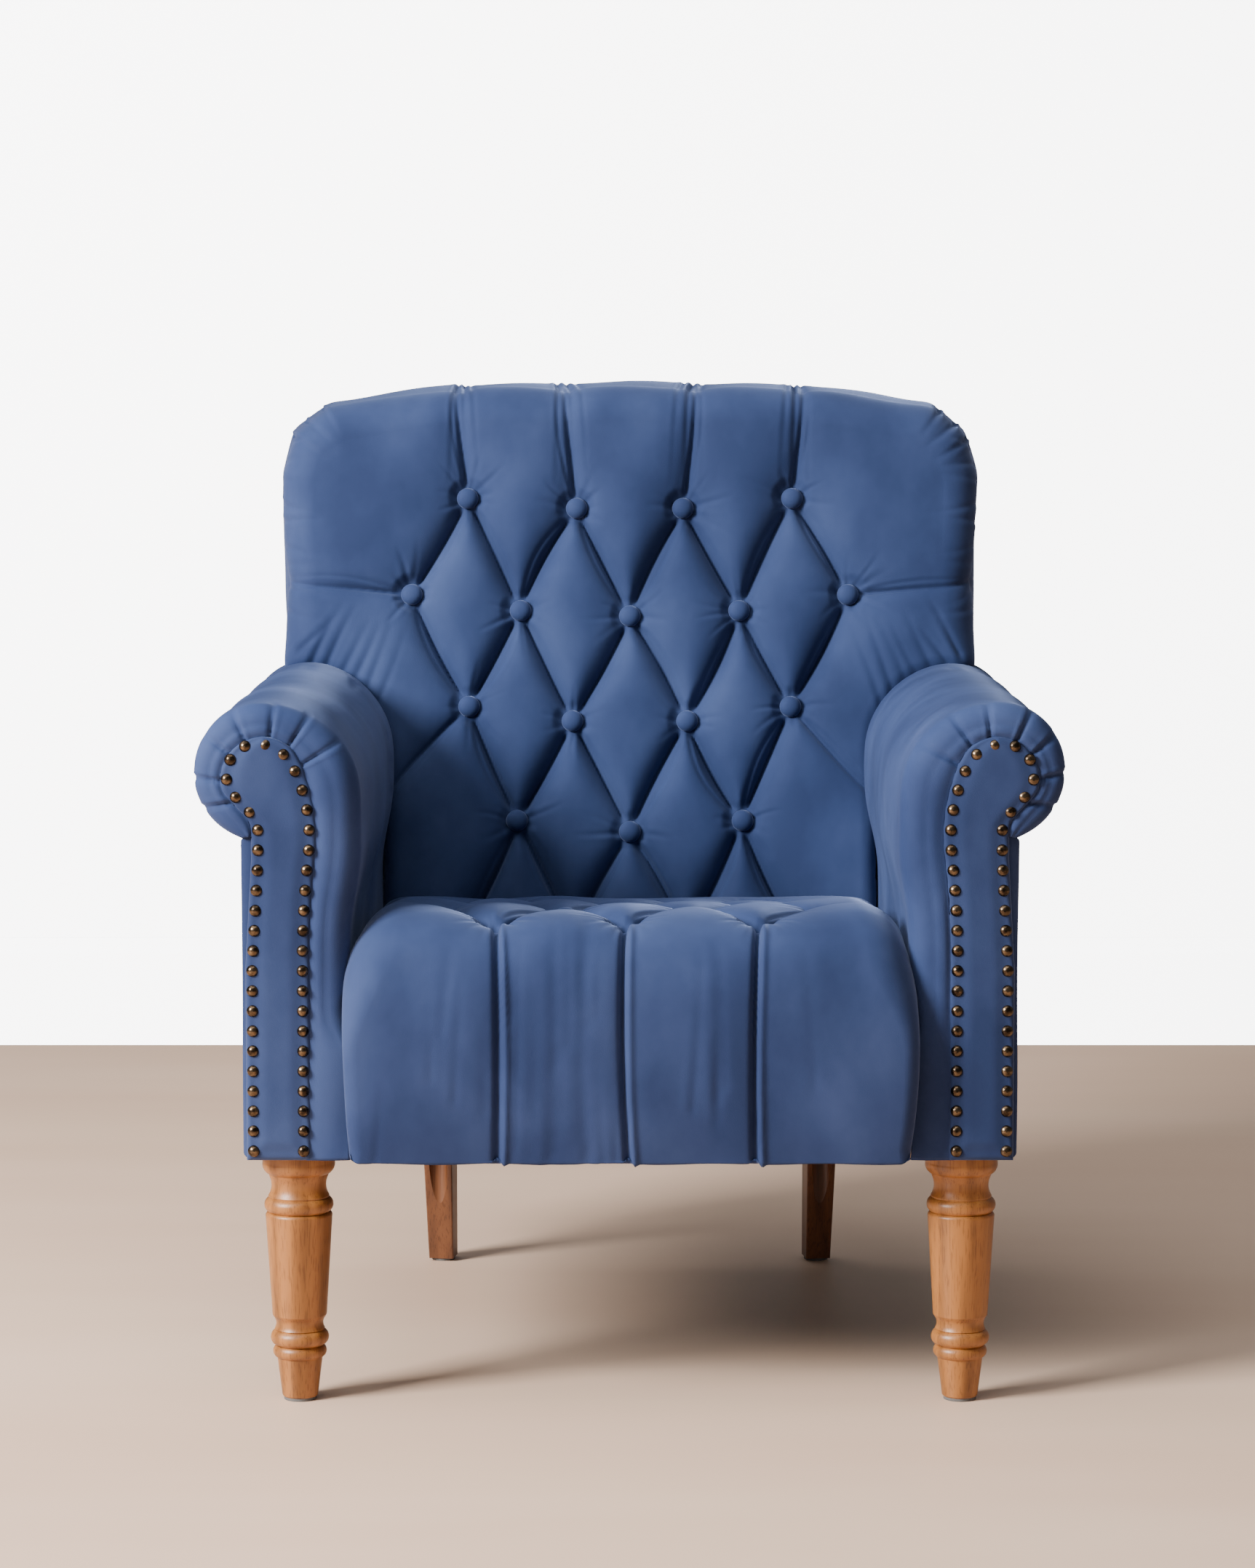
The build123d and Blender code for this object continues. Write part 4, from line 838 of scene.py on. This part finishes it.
# The padded outline outside it, with the same anchors
wall_low = np.array([(0.254, 0.230), (0.254, 0.451), (0.244, 0.505), (0.244, 0.558)])
shoulder, _ = arc_on((0.244, 0.558), (0, 1), (0.332, 0.646), 60)
roll_top, _ = arc_on((0.332, 0.646), (1, 0), (0.396, 0.582), 60)
roll_foot, _ = arc_on((0.396, 0.582), (0, -1), (0.350, 0.524), 50)
arm_edge = joined(wall_low, shoulder, roll_top, roll_foot)
# Each anchor: its place on the padded outline, its place on the facing's edge, and the length of the run after it
ANCHORS = (
    ((0.254, 0.230), (0.289, 0.230), 0.221), ((0.254, 0.451), (0.2872, 0.451), 0.055),
    ((0.244, 0.505), (0.283, 0.505), 0.053), ((0.244, 0.558), (0.2875, 0.560), 0.138),
    ((0.332, 0.646), (0.3305, 0.616), 0.100), ((0.396, 0.582), (0.3695, 0.579), 0.083),
    ((0.350, 0.524), (0.342, 0.526), 0.0),
)


def between_anchors(line, places, counts):
    """The line between each two anchor places, spaced evenly with the given counts."""
    leg = run_along(line)
    fine = spaced(line, 4000)
    at = [leg[-1] * np.argmin(np.hypot(*(fine - p).T)) / 3999 for p in places]
    spans = [np.linspace(at[k], at[k + 1], counts[k], endpoint=False) for k in range(len(counts))]
    walk = np.concatenate(spans + [[at[-1]]])
    return np.stack([np.interp(walk, leg, line[:, k]) for k in (0, 1)], -1)


arm_counts = [max(6, int(a[2] / ARM_STEP)) for a in ANCHORS[:-1]]
outer_line = between_anchors(arm_edge, [a[0] for a in ANCHORS], arm_counts)
inner_line = between_anchors(facing_edge, [a[1] for a in ANCHORS], arm_counts)


def averaged(line, spread):
    """A line with each point averaged with its neighbours by a bell of spread points; its ends stay."""
    reach = int(3 * spread)
    return evened(line, reach, bell_weights(np.arange(-reach, reach + 1) / spread))


outer_line = averaged(outer_line, 4)
inward = inner_line - outer_line
ring_width = np.hypot(*inward.T)
inward = averaged(inward / ring_width[:, None], 3)
inward /= np.hypot(*inward.T)[:, None]
edge_r = np.minimum(ROLL_EDGE_R, 0.62 * ring_width)
beside_seat = (outer_line[:, 0] < 0.300) & (outer_line[:, 1] < 0.50)
edge_r = np.where(beside_seat, 0.0025 + (edge_r - 0.0025) * blend_in(outer_line[:, 1], 0.325, 0.36), edge_r)
edge_r = averaged(edge_r[:, None], 3)[:, 0]
outer_run = run_along(outer_line)
ARM_STATIONS = int((ARM_REAR_Y - ARM_FRONT_Y) / (1.6 * ARM_STEP))
sections, reaches = [], []
for k in range(ARM_STATIONS + 1):
    part = k / ARM_STATIONS
    y = ARM_REAR_Y + part * ((ARM_FRONT_Y + edge_r) - ARM_REAR_Y)
    sections.append(np.column_stack([outer_line[:, 0], y, outer_line[:, 1]]))
    reaches.append(ring_width + 0.57 * edge_r + (y - (ARM_FRONT_Y + edge_r)))
for k in range(1, 11):
    turn = np.pi / 2 * k / 10
    drawn = outer_line + inward * (edge_r * (1 - np.cos(turn)))[:, None]
    sections.append(np.column_stack([drawn[:, 0], ARM_FRONT_Y + edge_r * (1 - np.sin(turn)), drawn[:, 1]]))
    reaches.append(ring_width + 0.57 * edge_r - edge_r * turn)
for k in range(1, 9):
    part = k / 8 * 1.14
    drawn = outer_line + inward * (edge_r + (ring_width - edge_r) * part)[:, None]
    puff = 0.0016 * np.sin(np.pi * min(part, 1))
    sections.append(np.column_stack([drawn[:, 0], ARM_FRONT_Y - puff + 0 * edge_r, drawn[:, 1]]))
    reaches.append((ring_width - edge_r) * (1 - part))
arm_grid = np.array(sections)
arm_reach = np.array(reaches)
arm_run = np.broadcast_to(outer_run, arm_reach.shape)
arm_flat = np.stack([arm_run, arm_reach], -1).reshape(-1, 2)
arm_rows, arm_cols = arm_reach.shape
arm_points = arm_grid.reshape(-1, 3)
arm_faces = quads(arm_rows, arm_cols)
arm_out = surface_normals(arm_points, arm_faces)
if arm_out[arm_cols * 5 + int(arm_cols * 0.6)] @ np.array([0, 0, 1]) < 0:
    arm_faces, arm_out = arm_faces[:, ::-1], -arm_out
# Inside the arm the sleeve's two long edges are joined by a return that stays behind the front board
RETURN = np.array([(0.3488, 0.5228), (0.338, 0.512), (0.300, 0.480), (0.275, 0.300), (0.262, 0.236), (0.2555, 0.2312)])
return_y = np.maximum(arm_grid[:, -1, 1], ARM_FRONT_Y + 0.012)
return_grid = np.stack([
    np.broadcast_to(RETURN[:, 0], (arm_rows, len(RETURN))), np.repeat(return_y[:, None], len(RETURN), 1),
    np.broadcast_to(RETURN[:, 1], (arm_rows, len(RETURN))),
], -1)
all_cols = arm_cols + len(RETURN)
column_index = np.concatenate([
    np.arange(arm_rows)[:, None] * arm_cols + np.arange(arm_cols),
    len(arm_points) + np.arange(arm_rows)[:, None] * len(RETURN) + np.arange(len(RETURN)),
], 1)
sleeve_faces = column_index.reshape(-1)[quads(arm_rows, all_cols, wrap=True)]
sleeve_faces = sleeve_faces if (arm_faces[0, 1] > arm_faces[0, 0]) else sleeve_faces[:, ::-1]

for side_name, side, seed in (("left", -1, 61), ("right", 1, 67)):
    rng = np.random.default_rng(seed)
    height = np.zeros(len(arm_points))
    # Pleats round the head
    roll_start = outer_run[np.argmin(np.hypot(*(outer_line - (0.262, 0.610)).T))]
    roll_end = outer_run[np.argmin(np.hypot(*(outer_line - (0.384, 0.550)).T))]
    for run in np.linspace(roll_start, roll_end, 7):
        run = run + rng.uniform(-0.004, 0.004)
        height += tuck(arm_flat, (run, -0.004), (run + rng.uniform(-0.004, 0.004), rng.uniform(0.045, 0.062)), 0.0034,
                       0.0024, rng.uniform(-0.001, 0.001), 1.0, 0.0)
        part, off, past = fold_place(arm_flat, (run, -0.004), (run, 0.06), 0)
        height -= 0.0028 * (1 - part) * np.exp(-np.abs(off) / 0.006) * np.exp(-((past / 0.01) ** 2))
    # Slight pulls where the sleeve meets the back cushion, and along the inner wall above the seat
    reach_back = arm_reach.max()
    for k in range(8):
        run = roll_start - 0.09 + 0.028 * k + rng.uniform(-0.005, 0.005)
        height += tuck(arm_flat, (run, reach_back - 0.12), (run - 0.004, reach_back - 0.12 - rng.uniform(0.04, 0.10)),
                       rng.uniform(0.0004, 0.0011), 0.005, rng.uniform(-0.003, 0.003), 1.0, 0.0)
    height += 0.0013 * (np.sin(arm_flat[:, 0] * 22 + seed) * np.sin(arm_flat[:, 1] * 17 + 0.3 * seed)
                        + 0.5 * np.sin(arm_flat[:, 0] * 47 - arm_flat[:, 1] * 31 + seed))
    # Soft swell of the padding on the inner wall
    along_arm = np.sin(np.pi * np.clip(arm_flat[:, 1] / 0.62, 0, 1)) ** 0.6
    height += 0.004 * np.exp(-(((arm_flat[:, 0] - 0.30) / 0.10) ** 2)) * along_arm
    fade = blend_in(arm_flat[:, 1], -0.001, 0.004)
    points = arm_points + arm_out * (height * np.maximum(fade, 0.55))[:, None]
    points = np.concatenate([points, return_grid.reshape(-1, 3)])
    caps = []
    for row, turn_over in ((0, False), (arm_rows - 1, True)):
        loop_line = column_index[row]
        points = np.vstack([points, points[loop_line].mean(0)])
        cap = fan(loop_line, len(points) - 1)
        caps.append(cap[:, ::-1] if turn_over == (arm_faces[0, 1] > arm_faces[0, 0]) else cap)
    groups = turned_for(side, [sleeve_faces] + caps)
    arm = mesh_piece(f"{side_name}_arm_sleeve", points * np.array([side, 1, 1]), groups, arm_velvet.material)
    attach(arm, "root")
    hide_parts(f"{side_name}_arm_cover", f"{side_name}_arm_foam")


# ---------------------------------------------------------------- facings
# A thin board wrapped in velvet over a little batting closes each arm's front, and nails hold its edge. Behind it
# a rolled welt runs along the line where the arm's roll meets the outside panel.

FACING_REAR_Y = -0.369
NAIL_PITCH = 0.0182
WELT_RINGS = 25
WELT_SIDES = 16


def crowded_ends(count):
    """From 0 to 1 in count places, closest together at both ends: (1 + sin t) / 2."""
    return np.sin(np.linspace(-np.pi / 2, np.pi / 2, count)) * 0.5 + 0.5


def two_skins(rows, cols):
    """Faces of two equal grids of points, the second behind the first, joined by a rim round their edges."""
    skin, rim, behind = quads(rows, cols), grid_rim(rows, cols), rows * cols
    after = np.roll(rim, -1)
    return [skin, skin[:, ::-1] + behind, np.stack([rim, rim + behind, after + behind, after], -1)]


facing_outer_foot = np.array([(0.342, 0.526), (0.342, 0.505), (0.348, 0.405), (0.348, 0.230)])
inner_count = len(joined(shank, waist, neck, crown))
inner_side = spaced(facing_edge[:inner_count], 260)
outer_side = spaced(joined(facing_edge[inner_count - 1 :], facing_outer_foot)[::-1], 260)
pair_low = int(np.argmin(np.hypot(*(inner_side - (0.283, 0.510)).T)))
pair_high = int(np.argmin(np.hypot(*(outer_side - (0.342, 0.520)).T)))
inner_side = np.concatenate([spaced(inner_side[: pair_low + 1], 130), spaced(inner_side[pair_low:], 90)[1:]])
outer_side = np.concatenate([spaced(outer_side[: pair_high + 1], 130), spaced(outer_side[pair_high:], 90)[1:]])
rung = crowded_ends(27)
ladder = inner_side[:, None] + (outer_side - inner_side)[:, None] * rung[None, :, None]
half_gap = 0.5 * np.hypot(*(outer_side - inner_side).T)[:, None]
from_edge = half_gap * 2 * np.minimum(rung, 1 - rung)[None, :]
foot_gap = ladder[:, :, 1] - BASE_Z
from_edge = np.minimum(from_edge, foot_gap + 0.0005)
rise = 0.0062 * quarter_round(from_edge / 0.004)
swell = 0.0024 * blend_in(from_edge, 0.006, 0.020)
wave = 0.0005 * np.sin(ladder[:, :, 1] * 2 * np.pi / NAIL_PITCH) * blend_in(-from_edge, -0.007, -0.001)
front_grid = np.stack([ladder[:, :, 0], FACING_REAR_Y - rise - swell - wave, ladder[:, :, 1]], -1)
rear_grid = np.stack([ladder[:, :, 0], np.full(rise.shape, FACING_REAR_Y), ladder[:, :, 1]], -1)
facing_points = np.concatenate([front_grid.reshape(-1, 3), rear_grid.reshape(-1, 3)])
for side_name, side in (("left", -1), ("right", 1)):
    points = facing_points * np.array([side, 1, 1])
    groups = turned_for(side, two_skins(*rise.shape))
    facing = mesh_piece(f"{side_name}_facing", points, groups, velvet.material)
    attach(facing, "root")
    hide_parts(f"{side_name}_arm_facing")
    # The sleeve's cloth ends in a small flap, rolled into a welt where the roll meets the outside panel
    t = np.linspace(0, 1, WELT_RINGS)[:, None]
    w = np.linspace(0, 2 * np.pi, WELT_SIDES, endpoint=False)[None, :]
    welt_y = FACING_REAR_Y + 0.004 + 0.60 * t
    welt_x = 0.3475 + 0.0042 * np.cos(w) + 0 * t
    welt_z = 0.5185 + 0.0065 * np.sin(w) - 0.002 * np.cos(w) + 0.0008 * np.sin(9 * t)
    welt_grid = np.stack(np.broadcast_arrays(side * welt_x, welt_y, welt_z), -1)
    welt_points = np.vstack([welt_grid.reshape(-1, 3), welt_grid[0].mean(0), welt_grid[-1].mean(0)])
    ring = np.arange(WELT_SIDES)
    first_fan = fan(ring, WELT_RINGS * WELT_SIDES)[:, ::-1]
    last_fan = fan(ring + (WELT_RINGS - 1) * WELT_SIDES, WELT_RINGS * WELT_SIDES + 1)[:, [2, 0, 1]]
    groups = turned_for(side, [quads(WELT_RINGS, WELT_SIDES, wrap=True), first_fan, last_fan])
    flap = mesh_piece(f"{side_name}_roll_welt", welt_points, groups, velvet.material)
    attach(flap, "root")


# ---------------------------------------------------------------- outside arm panels
# Card under a thin layer of batting and velvet, blind-tacked below the roll and closed round its edges.
# Its outer face is nearly flat and rounds over at the edges; its inner face lies against the frame.

panel_y = crowded_ends(120)
panel_z = crowded_ends(70)
PANEL_IN = 0.3405
PANEL_OUT = 0.3515
PANEL_TUCK = 0.004  # how far the panel goes up under the roll
for side_name, side in (("left", -1), ("right", 1)):
    low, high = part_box(f"{side_name}_outside_arm_panel")
    y = low[1] + (high[1] - low[1]) * panel_y[None, :] + 0 * panel_z[:, None]
    z = low[2] + (high[2] + PANEL_TUCK - low[2]) * panel_z[:, None] + 0 * panel_y[None, :]
    to_edge = np.minimum(np.minimum(y - low[1], high[1] - y), np.minimum(z - low[2], high[2] + PANEL_TUCK - z))
    rise = (PANEL_OUT - PANEL_IN) * quarter_round(to_edge / 0.006)
    rise = rise + 0.0022 * blend_in(to_edge, 0.004, 0.05) + 0.0006 * np.sin(y * 31 + side) * np.sin(z * 27)
    outer = np.stack([side * (PANEL_IN + rise), y, z], -1).reshape(-1, 3)
    inner = np.stack([side * (PANEL_IN - 0.0005 + 0 * rise), y, z], -1).reshape(-1, 3)
    groups = turned_for(side, two_skins(*rise.shape))
    panel = mesh_piece(f"{side_name}_outside_panel", np.concatenate([outer, inner]), groups, velvet.material)
    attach(panel, "root")
    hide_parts(f"{side_name}_outside_arm_panel")


# ---------------------------------------------------------------- buttons
# Button moulds covered with the same velvet, drawn down into the cushions by waxed twine. Sixteen are in the back
# and seventeen in the seat.

BUTTON_R = 0.0112
BUTTON_DOME = 0.0062


def button_mesh(centres, normals, seed):
    """Covered buttons: at each centre a domed cap, flattened at its middle, with a rounded rim and a flat rear.

    The section is z = dome * (1 - r^2.4), carried round the normal; the rim turns under to two fifths of the radius.
    """
    rim = np.array([(0.0, 1.0), (0.25, 0.98), (0.5, 0.87), (0.7, 0.68), (0.85, 0.42), (0.95, 0.12), (1.0, -0.2),
                    (0.96, -0.5), (0.8, -0.7), (0.4, -0.8)])
    around = np.linspace(0, 2 * np.pi, 28, endpoint=False)
    points, faces = [], []
    per = 1 + (len(rim) - 1) * len(around) + 1
    for number, (centre, normal) in enumerate(zip(centres, normals)):
        normal = normal / np.linalg.norm(normal)
        across_a = np.cross(normal, (0.0, 0.0, 1.0) if abs(normal[2]) < 0.8 else (1.0, 0.0, 0.0))
        across_a /= np.linalg.norm(across_a)
        across_b = np.cross(normal, across_a)
        spin = around + seed * 0.7 + number
        circle = np.cos(spin)[:, None] * across_a + np.sin(spin)[:, None] * across_b
        rings = [centre + r * BUTTON_R * circle + h * BUTTON_DOME * normal for r, h in rim[1:]]
        tip, rear = centre + BUTTON_DOME * normal, centre - 0.8 * BUTTON_DOME * normal
        points += [np.array([tip])] + rings + [np.array([rear])]
        start = number * per
        n = len(around)
        ring = np.arange(n)
        cap = fan(ring + 1, 0)
        tail = fan(ring + 1 + (len(rim) - 2) * n, per - 1)[:, [1, 0, 2]]
        body = quads(len(rim) - 1, n, wrap=True)[:, ::-1] + 1
        faces.append((cap + start, tail + start, body + start))
    caps = [np.concatenate([f[k] for f in faces]) for k in range(3)]
    return np.concatenate(points), caps


front_flat = back_flat[: len(patch_points)]
button_homes = np.array([back_points[np.argmin(np.sum((front_flat - p) ** 2, axis=1))] for p in BACK_TUFTS])
lean_normal = np.array([0, -1, BACK_LEAN]) / math.hypot(1, BACK_LEAN)
points, groups = button_mesh(button_homes + 0.0045 * lean_normal, np.repeat(lean_normal[None], len(button_homes), 0), 1)
back_buttons = mesh_piece("back_button_covers", points, groups, velvet.material)
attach(back_buttons, "root")
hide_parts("back_buttons")

seat_spots = [int(np.argmin(np.sum((seat_flat - p) ** 2, axis=1) + np.where(is_top, 0, 9))) for p in SEAT_TUFTS]
seat_normals = seat_out[seat_spots]
points, groups = button_mesh(seat_points[seat_spots] + 0.004 * seat_normals, seat_normals, 2)
seat_buttons = mesh_piece("seat_button_covers", points, groups, velvet.material)
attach(seat_buttons, "root")
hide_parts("seat_buttons")


# ---------------------------------------------------------------- finishes of the frame's own parts
# Turned oak front legs, rear legs whose oak is painted darker as painted shade, bronze nails, the velvet caps behind
# the arms, and the hidden beech frame, springs, webbing, boards and bolts each keep their shape and take their real
# finish.


def wood(name, dark, light, roughness, along):
    """Wood: long fibres from noise stretched along the grain, growth rings from a wave, and fine dark pores."""
    recipe = Recipe(name, light, roughness)
    squeeze = [14, 14, 14]
    squeeze[along] = 1.0
    fibres = recipe.noise(5, 6, squeeze)
    pores = recipe.noise(22, 2, [s * 2.4 if s > 1 else 1.6 for s in squeeze])
    stretch = [9 if k != along else 0.7 for k in range(3)]
    mapping = recipe.add("ShaderNodeMapping", Scale=stretch, Location=(0.13, 0.21, 0.05))
    recipe.link(recipe.place, mapping.inputs["Vector"])
    wave = recipe.add("ShaderNodeTexWave", Scale=1.6, Distortion=7.0, Detail=3.0)
    wave.inputs["Detail Scale"].default_value = 1.4
    recipe.link(mapping.outputs["Vector"], wave.inputs["Vector"])
    join = recipe.add("ShaderNodeMath", operation="MULTIPLY_ADD")
    recipe.link(wave.outputs["Fac"], join.inputs[0])
    join.inputs[1].default_value = 0.35
    recipe.link(fibres, join.inputs[2])
    lines = recipe.ramp(join.outputs["Value"], (0.38, dark), (0.80, light))
    dots = recipe.ramp(pores, (0.36, (0.55, 0.5, 0.45)), (0.46, (1, 1, 1)))
    mix = recipe.add("ShaderNodeMix", data_type="RGBA", blend_type="MULTIPLY")
    mix.inputs["Factor"].default_value = 0.7
    recipe.link(lines, mix.inputs["A"])
    recipe.link(dots, mix.inputs["B"])
    recipe.link(mix.outputs["Result"], recipe.shader.inputs["Base Color"])
    recipe.bump(pores, 0.15, 0.0004)
    return recipe


def cloth(name, color, scale, roughness=0.9):
    """Woven cloth: one wave as threads, with a little patchy colour."""
    recipe = Recipe(name, color, roughness)
    soft = [c * 0.8 for c in color]
    recipe.link(recipe.ramp(recipe.noise(35, 3), (0.35, soft), (0.7, color)), recipe.shader.inputs["Base Color"])
    wave = recipe.add("ShaderNodeTexWave", Scale=scale, Distortion=0.6)
    recipe.link(recipe.place, wave.inputs["Vector"])
    recipe.bump(wave.outputs["Fac"], 0.3, 0.0006)
    return recipe


def metal(name, color, dark, roughness):
    """Metal: worn colour from noise, darker where the noise is low."""
    recipe = Recipe(name, color, roughness)
    recipe.shader.inputs["Metallic"].default_value = 1.0
    recipe.link(recipe.ramp(recipe.noise(170, 4), (0.38, dark), (0.66, color)), recipe.shader.inputs["Base Color"])
    recipe.bump(recipe.noise(900, 2), 0.08, 0.0003)
    return recipe


front_oak = wood("front_leg_oak", (0.18, 0.063, 0.0125), (0.36, 0.138, 0.032), 0.40, 2)
# The rear legs' oak is painted darker than the front legs' oak: painted shade, for their place under the seat
rear_oak_painted_darker = wood("rear_leg_oak", (0.075, 0.024, 0.008), (0.165, 0.058, 0.020), 0.45, 2)
beech = wood("frame_beech", (0.52, 0.36, 0.22), (0.66, 0.49, 0.32), 0.6, 0)
plywood = wood("plywood", (0.50, 0.36, 0.22), (0.64, 0.49, 0.33), 0.65, 2)
hardboard = wood("hardboard", (0.16, 0.09, 0.05), (0.24, 0.15, 0.09), 0.7, 2)
brass = metal("antique_brass", (0.17, 0.115, 0.068), (0.035, 0.024, 0.016), 0.27)
zinc = metal("zinc_steel", (0.60, 0.60, 0.58), (0.38, 0.38, 0.38), 0.32)
spring = metal("spring_steel", (0.22, 0.22, 0.24), (0.09, 0.09, 0.10), 0.38)
felt = cloth("felt", (0.14, 0.135, 0.13), 260)
dust = cloth("dust_cloth", (0.012, 0.012, 0.014), 420)
jute = cloth("jute", (0.34, 0.24, 0.12), 300)
twine = cloth("twine", (0.52, 0.45, 0.34), 500)
foam_finish = cloth("foam", (0.70, 0.64, 0.44), 150)
batting = cloth("batting", (0.8, 0.8, 0.78), 60)
FINISHES = {
    "blue_velvet": velvet, "front_leg_oak": front_oak, "rear_leg_oak": rear_oak_painted_darker, "antique_brass": brass, "felt": felt,
    "zinc_steel": zinc, "spring_steel": spring, "foam": foam_finish, "batting": batting, "dust_cloth": dust,
    "jute": jute, "twine": twine, "hardboard": hardboard, "plywood": plywood, "frame_beech": beech,
}
slot_of = {part["node"]: part["material_slot"] for part in frame["record"]["subparts"]}
for node_name in frame["nodes"]:
    node = bpy.data.objects[node_name]
    finish = FINISHES[slot_of[node_name]].material
    if node.material_slots:
        for place in node.material_slots:
            place.material = finish
    else:
        node.data.materials.append(finish)
